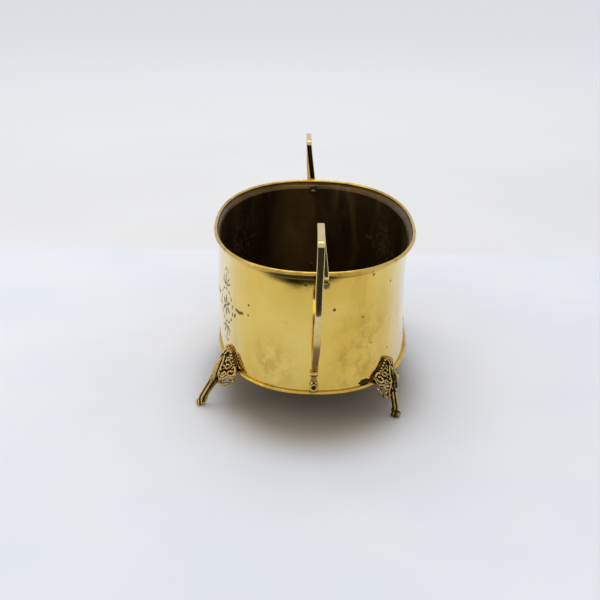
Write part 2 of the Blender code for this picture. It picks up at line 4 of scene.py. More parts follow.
import bmesh
import bpy
import numpy as np
from mathutils import Matrix, Vector


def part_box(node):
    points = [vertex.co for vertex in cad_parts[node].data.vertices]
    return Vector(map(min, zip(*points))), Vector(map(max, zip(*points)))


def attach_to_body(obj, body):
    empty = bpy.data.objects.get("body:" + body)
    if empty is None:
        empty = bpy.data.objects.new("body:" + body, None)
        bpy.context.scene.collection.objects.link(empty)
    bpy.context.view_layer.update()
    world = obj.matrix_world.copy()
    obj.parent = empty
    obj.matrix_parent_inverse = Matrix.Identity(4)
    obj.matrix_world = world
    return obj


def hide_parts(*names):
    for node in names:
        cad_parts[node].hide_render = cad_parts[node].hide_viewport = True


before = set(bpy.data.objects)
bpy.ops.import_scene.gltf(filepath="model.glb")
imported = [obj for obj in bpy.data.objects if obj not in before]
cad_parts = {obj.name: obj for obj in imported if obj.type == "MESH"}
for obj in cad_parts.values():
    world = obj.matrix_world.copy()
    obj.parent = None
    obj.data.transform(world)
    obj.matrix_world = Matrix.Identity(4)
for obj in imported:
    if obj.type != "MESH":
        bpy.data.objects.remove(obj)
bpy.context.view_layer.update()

# ---- dimensions, in metres -----------------------------------------------------------------------
# They are those of the CAD model, but the castings here are finer and lie closer to the wall.
RIM_WIDTH = 0.156
RIM_LENGTH = 0.234
OVAL_POWER = 2.26
SHEET = 0.0007
RIM_BEAD_RADIUS = 0.0014
BASE_BEAD_HEIGHT = 0.0026
BASE_BEAD_INSET = 0.0021
WALL_INSET_TOP = RIM_BEAD_RADIUS - SHEET / 2
WALL_INSET_MIDDLE = 0.0048
WALL_INSET_BASE = 0.0042
FLARE_HEIGHT = 0.0068
FLARE_POWER = 1.5
WALL_LEAN = 0.0019
GAP = 0.0003
STRAP_WIDTH = 0.0048
STRAP_THICKNESS = 0.0030
HANDLE_REACH = 0.0400
HANDLE_DROOP = 0.0010
KNEE_Z = 0.0920
UPPER_RIVET_DROP = 0.0094
LOWER_EYE_RISE = 0.0066
KNUCKLE_RISE = 0.0185  # where the strap bends down against the wall, over the base seam
TAIL_END = 0.0128  # its lower end
TAIL_NECK = 0.0055  # the height over which it narrows to that end
LUG_LENGTH = 0.0068
STRAP_CORNER = 0.0007
RIVET_HEAD_RADIUS = 0.0022
RIVET_HEAD = 0.0010
PLAQUE_TOP = 0.0165
PLAQUE_BOTTOM = -0.0125
PLAQUE_HALF_WIDTH = 0.0155
PLAQUE_TOP_HALF_WIDTH = 0.0056
PLAQUE_NECK_HALF_WIDTH = 0.0032
PLAQUE_EDGE = 0.0037
PLAQUE_UPPER_EDGE = 0.0014
PLAQUE_BEND_HEIGHT = 0.0030
PLAQUE_TOP_CROWN = 0.0012
UPPER_STRETCH = 1.14  # scrolls above the base seam are drawn for a lower casting
PLATE_BELOW_SEAM = 0.0018
PLATE_INSIDE = 0.0005  # the plate ends this far inside the casting's outline
PLATE_FRONT = 0.0006  # its faces, behind the fronts of the scrolls
PLATE_BACK = 0.0020
LEG_DEPTH = 0.05  # how far the leg's two cores stand apart, for each unit of its reach
SHORT_LEG_SHARE = 0.55  # a leg with a short reach is thinner
SHARE_PER_REACH = 18
CAST_VOXEL = 0.00027
STRAP_END_VOXEL = 0.00022
GROUND_CLEARANCE = 0.00002
RELIEF_SMOOTHINGS = 14
RELIEF_DEPTH = 0.00022  # a point this far over its smoothed surroundings has the full relief
WELD = 0.000002
TOE_LENGTH = 0.0076
TOE_WIDTH = 0.0056
TOE_HEIGHT = 0.0060
BASE_Z = 0.028
RIM_Z = 0.122
FLOOR_Z = 0.0292
FLARE_END_Z = RIM_Z - 2 * RIM_BEAD_RADIUS - 0.0002
HALF_WIDTH = RIM_WIDTH / 2
HALF_LENGTH = RIM_LENGTH / 2
MM = 0.001

HANDLES = {
    "near": (-1, 0.0360, 0.0068, 0.0020, 0.0000),
    "far": (1, 0.0350, 0.0000, -0.0050, 0.0000),
}
FEET = {
    "front_left": (-144, 0.00, 0.0140, 0.0255, 202),
    "front_right": (-47, 0.33, 0.0096, 0.0125, 318),
    "rear_right": (36, 0.00, 0.0130, 0.0222, 22),
    "rear_left": (133, 0.33, 0.0096, 0.0125, 138),
}


# ---- the oval ------------------------------------------------------------------------------------
def oval_arrays(degrees, inset):
    """Points on the rim's outer line moved in along their normals, as arrays, with the normals."""
    turn = np.radians(degrees)
    x = HALF_WIDTH * np.sign(np.cos(turn)) * np.abs(np.cos(turn)) ** (2 / OVAL_POWER)
    y = HALF_LENGTH * np.sign(np.sin(turn)) * np.abs(np.sin(turn)) ** (2 / OVAL_POWER)
    nx = np.sign(x) * np.abs(x / HALF_WIDTH) ** (OVAL_POWER - 1) / HALF_WIDTH
    ny = np.sign(y) * np.abs(y / HALF_LENGTH) ** (OVAL_POWER - 1) / HALF_LENGTH
    length = np.hypot(nx, ny)
    nx, ny = nx / length, ny / length
    return x - nx * inset, y - ny * inset, nx, ny


TABLE_DEGREES = np.linspace(-360, 720, 4321)
TABLE_X, TABLE_Y, _, _ = oval_arrays(TABLE_DEGREES, WALL_INSET_BASE)
TABLE_ARC = np.concatenate(([0], np.cumsum(np.hypot(np.diff(TABLE_X), np.diff(TABLE_Y)))))
ROUND = TABLE_ARC[-1] / 3


def arc_at(degrees):
    return np.interp(degrees, TABLE_DEGREES, TABLE_ARC)


def degrees_at(arc):
    return np.interp(arc, TABLE_ARC, TABLE_DEGREES)


def on_wall(centre, along, out, height):
    """World place from a distance along the wall, out from it and over the base seam."""
    degrees = degrees_at(arc_at(centre) + along)
    x, y, nx, ny = oval_arrays(degrees, WALL_INSET_BASE)
    return Vector((float(x + nx * out) - wall_lean(BASE_Z + height), float(y + ny * out), BASE_Z + height))


def wall_inset(height):
    flare_start = RIM_Z - FLARE_HEIGHT
    if height >= flare_start:
        rise = min((height - flare_start) / (FLARE_END_Z - flare_start), 1.0)
        return WALL_INSET_MIDDLE + (WALL_INSET_TOP - WALL_INSET_MIDDLE) * rise**FLARE_POWER
    share = max((height - BASE_Z) / (flare_start - BASE_Z), 0)
    return WALL_INSET_BASE + (WALL_INSET_MIDDLE - WALL_INSET_BASE) * math.sin(share * math.pi / 2)


def wall_lean(height):
    share = (height - BASE_Z - BASE_BEAD_HEIGHT) / (FLARE_END_Z - BASE_Z - BASE_BEAD_HEIGHT)
    return WALL_LEAN * math.sin(math.pi * min(max(share, 0), 1)) ** 0.6


# ---- mesh helpers --------------------------------------------------------------------------------
def make_piece(name, mesh, materials, nodes=()):
    """Puts a mesh in the scene as a piece of the pot, in place of the CAD nodes it stands for."""
    piece = bpy.data.objects.new(name, mesh)
    bpy.context.scene.collection.objects.link(piece)
    for material in materials:
        mesh.materials.append(material)
    mesh.shade_smooth()
    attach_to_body(piece, "root")
    if nodes:
        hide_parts(*nodes)
    return piece


def mesh_from(name, points, faces):
    mesh = bpy.data.meshes.new(name)
    mesh.from_pydata(points, [], faces)
    mesh.update()
    return mesh


def turn_outwards(mesh, weld=False):
    """Turns every face outwards, after welding the points that coincide if asked."""
    work = bmesh.new()
    work.from_mesh(mesh)
    if weld:
        bmesh.ops.remove_doubles(work, verts=work.verts[:], dist=WELD)
    bmesh.ops.recalc_face_normals(work, faces=work.faces[:])
    work.to_mesh(mesh)
    work.free()


def ring_faces(rings, around, closed):
    """Quads between successive rings of a grid whose points run around first."""
    pairs = [(k, k + 1) for k in range(rings - 1)] + ([(rings - 1, 0)] if closed else [])
    return [
        (low * around + k, low * around + (k + 1) % around,
         high * around + (k + 1) % around, high * around + k)
        for low, high in pairs
        for k in range(around)
    ]


def sweep_oval(name, section, columns):
    """Sweeps a closed section of (inset, height) points around the oval."""
    degrees = degrees_at(arc_at(0) + np.arange(columns) / columns * ROUND)
    points = []
    for inset, height in section:
        x, y, _, _ = oval_arrays(degrees, inset)
        lean = wall_lean(height)
        points += [(px - lean, py, height) for px, py in zip(x, y)]
    return mesh_from(name, points, ring_faces(len(section), columns, closed=True))


def catmull(points, steps=6):
    """A smooth line through points of any dimension."""
    points = [np.array(point, dtype=float) for point in points]
    padded = [2 * points[0] - points[1]] + points + [2 * points[-1] - points[-2]]
    line = []
    for a, b, c, d in zip(padded, padded[1:], padded[2:], padded[3:]):
        for k in range(steps):
            t = k / steps
            line.append(
                0.5 * (2 * b + (c - a) * t + (2 * a - 5 * b + 4 * c - d) * t**2
                       + (3 * b - a - 3 * c + d) * t**3)
            )
    line.append(points[-1])
    return line


def add_ball(work, place, radii, turn=None, rings=7):
    """An ellipsoid. turn is the 3 by 3 rotation of its own axes."""
    turn = turn or Matrix.Identity(3)
    around = 2 * rings

    def point(down, round_about):
        ball = Vector((
            math.sin(down) * math.cos(round_about) * radii[0],
            math.sin(down) * math.sin(round_about) * radii[1],
            math.cos(down) * radii[2],
        ))
        return work.verts.new(place + turn @ ball)

    top, bottom = point(0, 0), point(math.pi, 0)
    bands = [
        [point(math.pi * j / rings, 2 * math.pi * k / around) for k in range(around)]
        for j in range(1, rings)
    ]
    for k in range(around):
        after = (k + 1) % around
        work.faces.new((top, bands[0][k], bands[0][after]))
        work.faces.new((bottom, bands[-1][after], bands[-1][k]))
        for high, low in zip(bands, bands[1:]):
            work.faces.new((high[k], low[k], low[after], high[after]))


def add_tube(work, line, radii, sides=8):
    """A closed tube along a line with a radius at each point, and rounded ends."""
    rings = []
    tangents = []
    for k in range(len(line)):
        ahead = line[min(k + 1, len(line) - 1)] - line[max(k - 1, 0)]
        tangents.append(ahead.normalized())
    side = tangents[0].orthogonal().normalized()
    for here, tangent, radius in zip(line, tangents, radii):
        side = (side - tangent * side.dot(tangent)).normalized()
        other = tangent.cross(side)
        ring = []
        for j in range(sides):
            turn = 2 * math.pi * j / sides
            ring.append(work.verts.new(here + (side * math.cos(turn) + other * math.sin(turn)) * radius))
        rings.append(ring)
    for low, high in zip(rings, rings[1:]):
        for j in range(sides):
            after = (j + 1) % sides
            work.faces.new((low[j], low[after], high[after], high[j]))
    work.faces.new(rings[0][::-1])
    work.faces.new(rings[-1])
    for place, radius in ((line[0], radii[0]), (line[-1], radii[-1])):
        add_ball(work, place, (radius, radius, radius), rings=4)


def add_slab(work, columns, rows, place):
    """A closed slab between two grids. place(front, across, rise) gives each point."""
    grids = [
        [work.verts.new(place(front, 2 * k / columns - 1, j / rows))
         for j in range(rows + 1) for k in range(columns + 1)]
        for front in (True, False)
    ]
    wide = columns + 1
    front, back = grids
    for j in range(rows):
        for k in range(columns):
            a, b, c, d = j * wide + k, j * wide + k + 1, (j + 1) * wide + k + 1, (j + 1) * wide + k
            work.faces.new((front[a], front[b], front[c], front[d]))
            work.faces.new((back[d], back[c], back[b], back[a]))
    border = list(range(wide)) + [j * wide + columns for j in range(1, rows + 1)]
    border += [rows * wide + k for k in range(columns - 1, -1, -1)]
    border += [j * wide for j in range(rows - 1, 0, -1)]
    for here, after in zip(border, border[1:] + border[:1]):
        work.faces.new((front[after], front[here], back[here], back[after]))


def relief_of(mesh):
    """How far each point stands above (1) or below (-1) the smoothed surface around it."""
    count = len(mesh.vertices)
    points = np.empty(count * 3)
    mesh.vertices.foreach_get("co", points)
    points = points.reshape(-1, 3)
    normals = np.empty(count * 3)
    mesh.vertices.foreach_get("normal", normals)
    normals = normals.reshape(-1, 3)
    edges = np.empty(len(mesh.edges) * 2, dtype=np.int64)
    mesh.edges.foreach_get("vertices", edges)
    edges = edges.reshape(-1, 2)
    degree = np.bincount(edges.ravel(), minlength=count)[:, None]
    smooth = points.copy()
    for _ in range(RELIEF_SMOOTHINGS):
        total = np.zeros_like(smooth)
        for axis in range(3):
            total[:, axis] += np.bincount(edges[:, 0], smooth[edges[:, 1], axis], count)
            total[:, axis] += np.bincount(edges[:, 1], smooth[edges[:, 0], axis], count)
        smooth = total / np.maximum(degree, 1)
    return np.clip(((points - smooth) * normals).sum(axis=1) / RELIEF_DEPTH, -1, 1)


def store(mesh, name, values):
    layer = mesh.attributes.new(name, "FLOAT", "POINT")
    layer.data.foreach_set("value", np.asarray(values, dtype=np.float32))


def fuse(work, name, voxel, ground=False):
    """Melts overlapping shapes into one skin, as a casting has, and stores its relief."""
    rough = bpy.data.meshes.new(name + "_rough")
    work.to_mesh(rough)
    work.free()
    holder = bpy.data.objects.new(name + "_rough", rough)
    bpy.context.scene.collection.objects.link(holder)
    melt = holder.modifiers.new("melt", "REMESH")
    melt.mode = "VOXEL"
    melt.voxel_size = voxel
    soften = holder.modifiers.new("soften", "SMOOTH")
    soften.iterations = 2
    soften.factor = 0.5
    graph = bpy.context.evaluated_depsgraph_get()
    mesh = bpy.data.meshes.new_from_object(holder.evaluated_get(graph))
    bpy.data.objects.remove(holder)
    bpy.data.meshes.remove(rough)
    mesh.name = name
    if ground:
        for vertex in mesh.vertices:
            vertex.co.z = max(vertex.co.z, GROUND_CLEARANCE)
    store(mesh, "relief", relief_of(mesh))
    return mesh


# ---- shader helpers ------------------------------------------------------------------------------
class Shader:
    """A material's node tree, with short calls for the nodes used here."""

    def __init__(self, name, metallic):
        self.material = bpy.data.materials.new(name)
        self.material.use_nodes = True
        self.tree = self.material.node_tree
        self.principled = self.tree.nodes["Principled BSDF"]
        self.principled.inputs["Metallic"].default_value = metallic
        self.place = self.tree.nodes.new("ShaderNodeTexCoord").outputs["Object"]

    def link(self, source, socket):
        if isinstance(source, (int, float)):
            socket.default_value = source
        elif isinstance(source, tuple):
            socket.default_value = (*source, 1.0) if len(source) < len(socket.default_value) else source
        else:
            self.tree.links.new(source, socket)

    def node(self, kind, sockets, **settings):
        """A node with its settings made, and then its sockets set or linked."""
        made = self.tree.nodes.new("ShaderNode" + kind)
        for key, value in settings.items():
            setattr(made, key, value)
        for key, value in sockets.items():
            self.link(value, made.inputs[key])
        return made

    def scaled(self, scale):
        return self.node("Mapping", {"Vector": self.place, "Scale": scale}).outputs["Vector"]

    def noise(self, scale, detail=4.0, rough=0.55, warp=0.0, stretch=(1, 1, 1)):
        sockets = {"Vector": self.scaled(stretch), "Scale": scale}
        sockets |= {"Detail": detail, "Roughness": rough, "Distortion": warp}
        return self.node("TexNoise", sockets).outputs["Fac"]

    def cells(self, scale, feature="F1"):
        return self.node("TexVoronoi", {"Vector": self.scaled((1, 1, 1)), "Scale": scale}, feature=feature)

    def axes(self):
        return self.node("SeparateXYZ", {"Vector": self.place}).outputs

    def step(self, value, low, high, out_low=0.0, out_high=1.0):
        """A smooth step of a value between two levels."""
        sockets = {"Value": value, "From Min": low, "From Max": high}
        sockets |= {"To Min": out_low, "To Max": out_high}
        return self.node("MapRange", sockets, interpolation_type="SMOOTHSTEP").outputs["Result"]

    def calc(self, operation, first, second=0.0, clamp=False):
        made = self.node("Math", {0: first, 1: second}, operation=operation, use_clamp=clamp)
        return made.outputs["Value"]

    def times(self, first, second):
        return self.calc("MULTIPLY", first, second)

    def plus(self, first, second, clamp=False):
        return self.calc("ADD", first, second, clamp)

    def mix(self, share, first, second):
        sockets = {"Factor": share, "A": first, "B": second}
        return self.node("Mix", sockets, data_type="RGBA").outputs["Result"]

    def attribute(self, name):
        return self.node("Attribute", {}, attribute_name=name).outputs["Fac"]

    def blotch(self, centre, radius, squash=(1, 1, 1)):
        """1 at a place on the pot, falling to 0 at a distance."""
        away = self.node("VectorMath", {0: self.place, 1: centre}, operation="SUBTRACT")
        flat = self.node("VectorMath", {0: away.outputs["Vector"], 1: squash}, operation="MULTIPLY")
        size = self.node("VectorMath", {0: flat.outputs["Vector"]}, operation="LENGTH")
        return self.step(size.outputs["Value"], 0.0, radius, 1.0, 0.0)

    def bump(self, height, strength, distance, before=None):
        sockets = {"Strength": strength, "Distance": distance, "Height": height}
        if before is not None:
            sockets["Normal"] = before
        return self.node("Bump", sockets).outputs["Normal"]

    def finish(self, colour, roughness, normal=None):
        self.link(colour, self.principled.inputs["Base Color"])
        self.link(roughness, self.principled.inputs["Roughness"])
        if normal is not None:
            self.link(normal, self.principled.inputs["Normal"])
        return self.material


# ---- materials -----------------------------------------------------------------------------------
CLEAN_BRASS = (0.80, 0.595, 0.155)
# Pale colour for the painted reflection on the wall's left and right flanks.
PAINTED_PALE_REFLECTION = (0.86, 0.76, 0.46)
WARM_BRASS = (0.72, 0.49, 0.088)
TARNISH = (0.45, 0.265, 0.045)
DARK_STAIN = (0.10, 0.055, 0.018)
BLACKENED = (0.018, 0.012, 0.007)
HIGH_GOLD = (0.74, 0.52, 0.18)


def polished_wall():
    """Old polished sheet brass: clean and warm areas, darker brown patches, smears, pits, fine wiping marks,
    a painted pale reflection on its flanks and a painted dark reflection under the rim.
    """
    s = Shader("polished_sheet_brass", 1.0)
    broad = s.noise(14, 3, 0.5, 0.6)
    colour = s.mix(s.step(broad, 0.35, 0.72), CLEAN_BRASS, WARM_BRASS)
    # Painted reflection: the wall's left and right flanks are painted paler, as a white surround lights
    # them.
    sides = s.step(s.calc("ABSOLUTE", s.axes()["X"]), 0.046, 0.074)
    colour = s.mix(s.times(sides, 0.8), colour, PAINTED_PALE_REFLECTION)
    smear = s.noise(46, 6, 0.62, 0.8, (1, 1, 0.45))
    patches = s.noise(17, 3, 0.5, 0.4, (1, 1, 0.7))
    smears = s.times(s.step(smear, 0.50, 0.68), s.step(patches, 0.50, 0.68))
    # Mottled darker brown patches at three places low on the front of the wall.
    low_left = s.blotch((-0.030, -0.110, 0.046), 0.026, (1, 0.4, 0.7))
    right = s.blotch((0.034, -0.104, 0.060), 0.040, (1.2, 0.4, 0.7))
    lower = s.blotch((0.022, -0.112, 0.044), 0.020, (1, 0.4, 1))
    mottled = s.step(s.noise(95, 6, 0.65, 0.5), 0.38, 0.66)
    local = s.times(s.plus(s.plus(low_left, right), lower, True), mottled)
    smears_and_patches = s.calc("MAXIMUM", s.times(smears, 0.55), s.times(local, 0.62))
    colour = s.mix(smears_and_patches, colour, TARNISH)
    # Painted dark reflection: a dark olive band just under the rim on the front of the wall.
    painted_dark_reflection_under_rim = s.blotch((-0.010, -0.116, 0.1168), 0.042, (1.0, 0.4, 4.4))
    colour = s.mix(s.step(painted_dark_reflection_under_rim, 0.10, 0.60, 0.0, 0.93), colour, (0.085, 0.062, 0.014))
    spilled = s.blotch(tuple(on_wall(-47, -0.0215, 0.0, 0.0046)), 0.0085, (1.0, 1.0, 2.2))
    spilled = s.plus(spilled, s.times(s.noise(380, 4, 0.7), 1.1))
    spilled = s.step(spilled, 0.80, 0.92)
    colour = s.mix(s.times(spilled, 0.95), colour, BLACKENED)
    pits = s.cells(150)
    chance = s.node("SeparateColor", {"Color": pits.outputs["Color"]})
    rare = s.step(chance.outputs["Red"], 0.93, 0.95)
    dots = s.times(s.step(pits.outputs["Distance"], 0.10, 0.22, 1.0, 0.0), rare)
    colour = s.mix(s.times(dots, 0.85), colour, DARK_STAIN)
    engraved = s.attribute("engrave")
    colour = s.mix(s.times(engraved, 0.93), colour, BLACKENED)
    wipe = s.noise(260, 3, 0.6, 0.0, (1, 1, 5))
    rough = s.plus(s.step(wipe, 0.3, 0.8, 0.06, 0.13), s.times(smears_and_patches, 0.22))
    rough = s.plus(rough, s.times(s.calc("MAXIMUM", engraved, spilled), 0.45))
    hammered = s.bump(s.noise(55, 2, 0.4), 0.12, 0.0006)
    fine = s.bump(wipe, 0.05, 0.0001, hammered)
    normal = s.bump(s.times(dots, -1.0), 0.4, 0.0003, fine)
    return s.finish(colour, rough, normal)


def patinated_inside():
    """The inside of the pot: olive brown patina with streaks, worn to metal here and there, and a painted
    glow of light on the far inside wall.
    """
    s = Shader("inside_patina", 0.85)
    broad = s.noise(16, 4, 0.6, 0.8)
    streaks = s.noise(60, 5, 0.6, 0.6, (1, 1, 0.3))
    colour = s.mix(s.step(broad, 0.3, 0.7), (0.045, 0.025, 0.008), (0.125, 0.074, 0.020))
    colour = s.mix(s.times(s.step(streaks, 0.45, 0.75), 0.6), colour, (0.20, 0.125, 0.035))
    # Painted light: a brighter glow on the far inside wall.
    painted_light_far_wall = s.blotch((-0.014, 0.106, 0.075), 0.048, (1.5, 0.4, 0.8))
    colour = s.mix(s.times(painted_light_far_wall, 0.75), colour, (0.30, 0.19, 0.05))
    specks = s.step(s.noise(420, 3, 0.7), 0.66, 0.74)
    colour = s.mix(s.times(specks, 0.5), colour, (0.30, 0.24, 0.13))
    engraved = s.attribute("engrave")
    colour = s.mix(s.times(engraved, 0.5), colour, (0.34, 0.27, 0.15))
    rough = s.step(streaks, 0.3, 0.75, 0.30, 0.50)
    normal = s.bump(s.noise(130, 5, 0.6), 0.25, 0.0004)
    return s.finish(colour, rough, normal)


def rim_brass():
    """Polished bead: bright and brown short rub marks mixed at random, with patches of tarnish."""
    s = Shader("rim_brass", 1.0)
    rub = s.noise(120, 4, 0.6, 0.4)
    colour = s.mix(s.step(rub, 0.42, 0.75), (0.70, 0.46, 0.09), (0.44, 0.26, 0.045))
    grime = s.step(s.noise(38, 5, 0.6, 0.8), 0.55, 0.78)
    colour = s.mix(s.times(grime, 0.45), colour, TARNISH)
    rough = s.step(rub, 0.3, 0.8, 0.12, 0.26)
    return s.finish(colour, rough, s.bump(s.noise(330, 3, 0.6), 0.12, 0.0002))


def strap_brass():
    """Handle strap: mirror faces in paler and warmer patches, small pits and traces of dark polish, and
    tarnish near its lower ends.
    """
    s = Shader("strap_brass", 1.0)
    broad = s.noise(34, 4, 0.6, 0.5)
    colour = s.mix(s.step(broad, 0.35, 0.7), (0.82, 0.66, 0.34), (0.70, 0.50, 0.17))
    specks = s.step(s.noise(300, 3, 0.65), 0.68, 0.75)
    colour = s.mix(s.times(specks, 0.75), colour, DARK_STAIN)
    foot = s.step(s.noise(150, 5, 0.65, 0.6), 0.48, 0.62)
    near_foot = s.blotch((0.0, -0.118, 0.040), 0.020)
    far_foot = s.blotch((0.0, 0.118, 0.040), 0.020)
    stained = s.times(foot, s.plus(near_foot, far_foot, True))
    colour = s.mix(s.times(stained, 0.7), colour, TARNISH)
    rough = s.step(broad, 0.3, 0.8, 0.05, 0.11)
    return s.finish(colour, rough, s.bump(s.noise(210, 3, 0.6), 0.05, 0.0002))


def cast_brass(name, dark_level):
    """Cast relief: rubbed gold on what stands proud, black-brown grime in the hollows."""
    s = Shader(name, 1.0)
    relief = s.attribute("relief")
    grain = s.noise(520, 4, 0.6)
    uneven = s.plus(relief, s.times(s.calc("SUBTRACT", grain, 0.5), 0.5))
    high = s.step(uneven, dark_level, dark_level + 0.50)
    tone = s.noise(90, 3, 0.5)
    gold = s.mix(s.step(tone, 0.35, 0.7), HIGH_GOLD, (0.48, 0.30, 0.09))
    low = s.mix(s.step(grain, 0.4, 0.7), BLACKENED, (0.075, 0.042, 0.014))
    colour = s.mix(high, low, gold)
    rough = s.plus(s.step(high, 0.0, 1.0, 0.52, 0.20), s.step(grain, 0.4, 0.8, 0.0, 0.12))
    return s.finish(colour, rough, s.bump(grain, 0.22, 0.0002))


def rivet_brass():
    s = Shader("hammered_rivet_brass", 1.0)
    dents = s.cells(900, "SMOOTH_F1")
    tone = s.noise(260, 4, 0.6)
    colour = s.mix(s.step(tone, 0.40, 0.64), (0.34, 0.23, 0.09), (0.07, 0.045, 0.02))
    rough = s.step(tone, 0.3, 0.8, 0.24, 0.50)
    return s.finish(colour, rough, s.bump(dents.outputs["Distance"], 0.35, 0.0004))


def old_solder():
    s = Shader("tarnished_solder", 0.35)
    tone = s.noise(240, 6, 0.65, 0.4)
    colour = s.mix(s.step(tone, 0.42, 0.7), (0.012, 0.010, 0.008), (0.075, 0.058, 0.040))
    rough = s.step(tone, 0.3, 0.8, 0.45, 0.75)
    return s.finish(colour, rough, s.bump(tone, 0.6, 0.0006))


def table_cloth():
    """Pale floor: cool white, with a painted brown shadow and warm bounce light close under the pot, and
    warmer far behind.
    """
    s = Shader("pale_floor", 0.0)
    away = s.axes()["Y"]
    back = s.step(away, 0.252, 0.275)
    cool = s.mix(s.step(s.noise(9, 3, 0.5), 0.3, 0.7), (0.83, 0.85, 0.89), (0.88, 0.885, 0.915))
    warm = s.mix(s.step(s.noise(3, 3, 0.5), 0.3, 0.7), (0.82, 0.815, 0.80), (0.86, 0.855, 0.84))
    warm = s.mix(s.step(away, 0.35, 1.6), warm, (0.985, 0.985, 0.985))
    # Painted shadow: brown shade, warmed as by the brass, on the floor under and in front of the pot.
    under = s.blotch((0, -0.035, 0), 0.165, (1.35, 1.0, 1.0))
    cool = s.mix(s.step(under, 0.06, 0.55), cool, (0.42, 0.36, 0.265))
    weave = s.noise(900, 2, 0.5)
    return s.finish(s.mix(back, cool, warm), s.step(weave, 0.3, 0.7, 0.8, 0.95), s.bump(weave, 0.15, 0.0004))


# ---- the wall ------------------------------------------------------------------------------------
MEDALLION_ARCS = (-148, 148, 32, -32)
WORN_MEDALLION = -32  # polished almost away
WORN_DEPTH = 0.10
CENTRE_ARCS = (0, 180)
MEDALLION_Z = 0.0755
CORNER_RADIUS = 13.0  # of the ring of dashes, in millimetres
CENTRE_RADIUS = 15.0
MEDALLION_REACH = 28
MEDALLION_BAND = 0.0245
PUNCH_DEPTH = 0.00038


def petal(u, v, length, heading, bow=0.22):
    """A comma stroke that starts at a point and leaves along a heading, in degrees."""
    turn = math.radians(heading)
    ahead = np.array((math.cos(turn), math.sin(turn)))
    side = np.array((-ahead[1], ahead[0]))
    start = np.array((u, v))
    return [start, start + ahead * length * 0.5 + side * length * bow, start + ahead * length]


def medallion_strokes(radius):
    """The punched flower medallion, in millimetres around its middle, as (line, half width)."""
    strokes = []
    dashes = 14
    for k in range(dashes):
        mid = 360 * (k + 0.5) / dashes
        line = []
        for offset in (-4.5, 0, 4.5):
            turn = math.radians(mid + offset)
            line.append(np.array((radius * math.cos(turn), radius * math.sin(turn))))
        strokes.append((line, 0.95))
    petals = 6
    for k in range(petals):
        turn = math.radians(360 * k / petals + 30)
        start = (2.2 * math.cos(turn), 2.2 * math.sin(turn))
        reach = radius * 0.42
        strokes.append((petal(*start, reach, 360 * k / petals + 30, 0.18), 0.70))
        strokes.append((petal(*start, reach, 360 * k / petals + 30, -0.18), 0.70))
    strokes.append(([np.array((-0.6, 0.0)), np.array((0.6, 0.0))], 0.9))
    for up in (1, -1):
        base = up * (radius + 3.0)
        for lean, length in ((0, 9.0), (32, 7.5), (-32, 7.5), (62, 5.5), (-62, 5.5)):
            strokes.append((petal(lean * 0.05, base, length, up * (90 - lean), 0.10), 0.70))
        strokes.append((petal(-3.2, base + up * 10.5, 3.0, up * 50, 0.2), 0.65))
        strokes.append((petal(3.2, base + up * 10.5, 3.0, up * 130, -0.2), 0.65))
    return strokes


def side_strokes(radius, way):
    """Curling leaves that run along the wall from a medallion, to one side."""
    start = way * (radius + 3.0)
    return [
        (petal(start + way * 3.0, 3.4, 7.5, 0 if way > 0 else 180, -0.14 * way), 1.5),
        (petal(start, -3.5, 2.6, 60 if way > 0 else 120, 0.15 * way), 1.2),
    ]


def stroke_mask(u, v, strokes):
    """How deep each point lies in the nearest stroke, 0 to 1. u and v are in millimetres."""
    mask = np.zeros_like(u)
    for line, half_width in strokes:
        for start, end in zip(line, line[1:]):
            ahead = end - start
            share = ((u - start[0]) * ahead[0] + (v - start[1]) * ahead[1]) / max(ahead @ ahead, 1e-9)
            share = np.clip(share, 0, 1)
            away = np.hypot(u - start[0] - share * ahead[0], v - start[1] - share * ahead[1])
            depth = np.clip(1.25 - away / half_width, 0, 1)
            mask = np.maximum(mask, depth * depth * (3 - 2 * depth))
    return mask


def wall_columns():
    """Distances along the oval, close together at the medallions."""
    fine, coarse = 0.0007, 0.0024
    bands = sorted(
        (arc_at(degrees) % ROUND, MEDALLION_BAND) for degrees in (*MEDALLION_ARCS, *CENTRE_ARCS)
    )
    columns = []
    here = 0.0
    while here < ROUND - coarse * 0.4:
        columns.append(here)
        gaps = [abs((here - middle + ROUND / 2) % ROUND - ROUND / 2) - half for middle, half in bands]
        here += fine if min(gaps) < 0 else coarse
    return np.array(columns)


def wall_rows():
    rows = [BASE_Z + 0.0002, BASE_Z + 0.003, BASE_Z + 0.006, BASE_Z + 0.009]
    z = BASE_Z + 0.012
    while z < 0.1145:
        rows.append(z)
        z += 0.00085
    while z < FLARE_END_Z - 0.0002:
        rows.append(z)
        z += 0.0004
    return np.array(rows + [FLARE_END_Z, RIM_Z - RIM_BEAD_RADIUS])


def hand_formed(arc, z):
    """The gentle unevenness of a wall that was bent and trued by hand, outwards in metres."""
    turn = 2 * math.pi * arc / ROUND
    height = (z - BASE_Z) / (RIM_Z - BASE_Z)
    hold = np.sin(np.pi * np.clip(height, 0, 1)) ** 0.7
    wave = (
        0.10 * np.sin(7 * turn + 2.0 * height + 0.4)
        + 0.07 * np.sin(13 * turn - 3.1 * height + 1.9)
        + 0.05 * np.sin(23 * turn + 5.3 * height + 0.7)
        + 0.05 * np.sin(9.0 * height + 3 * turn)
    )
    return wave * hold * MM


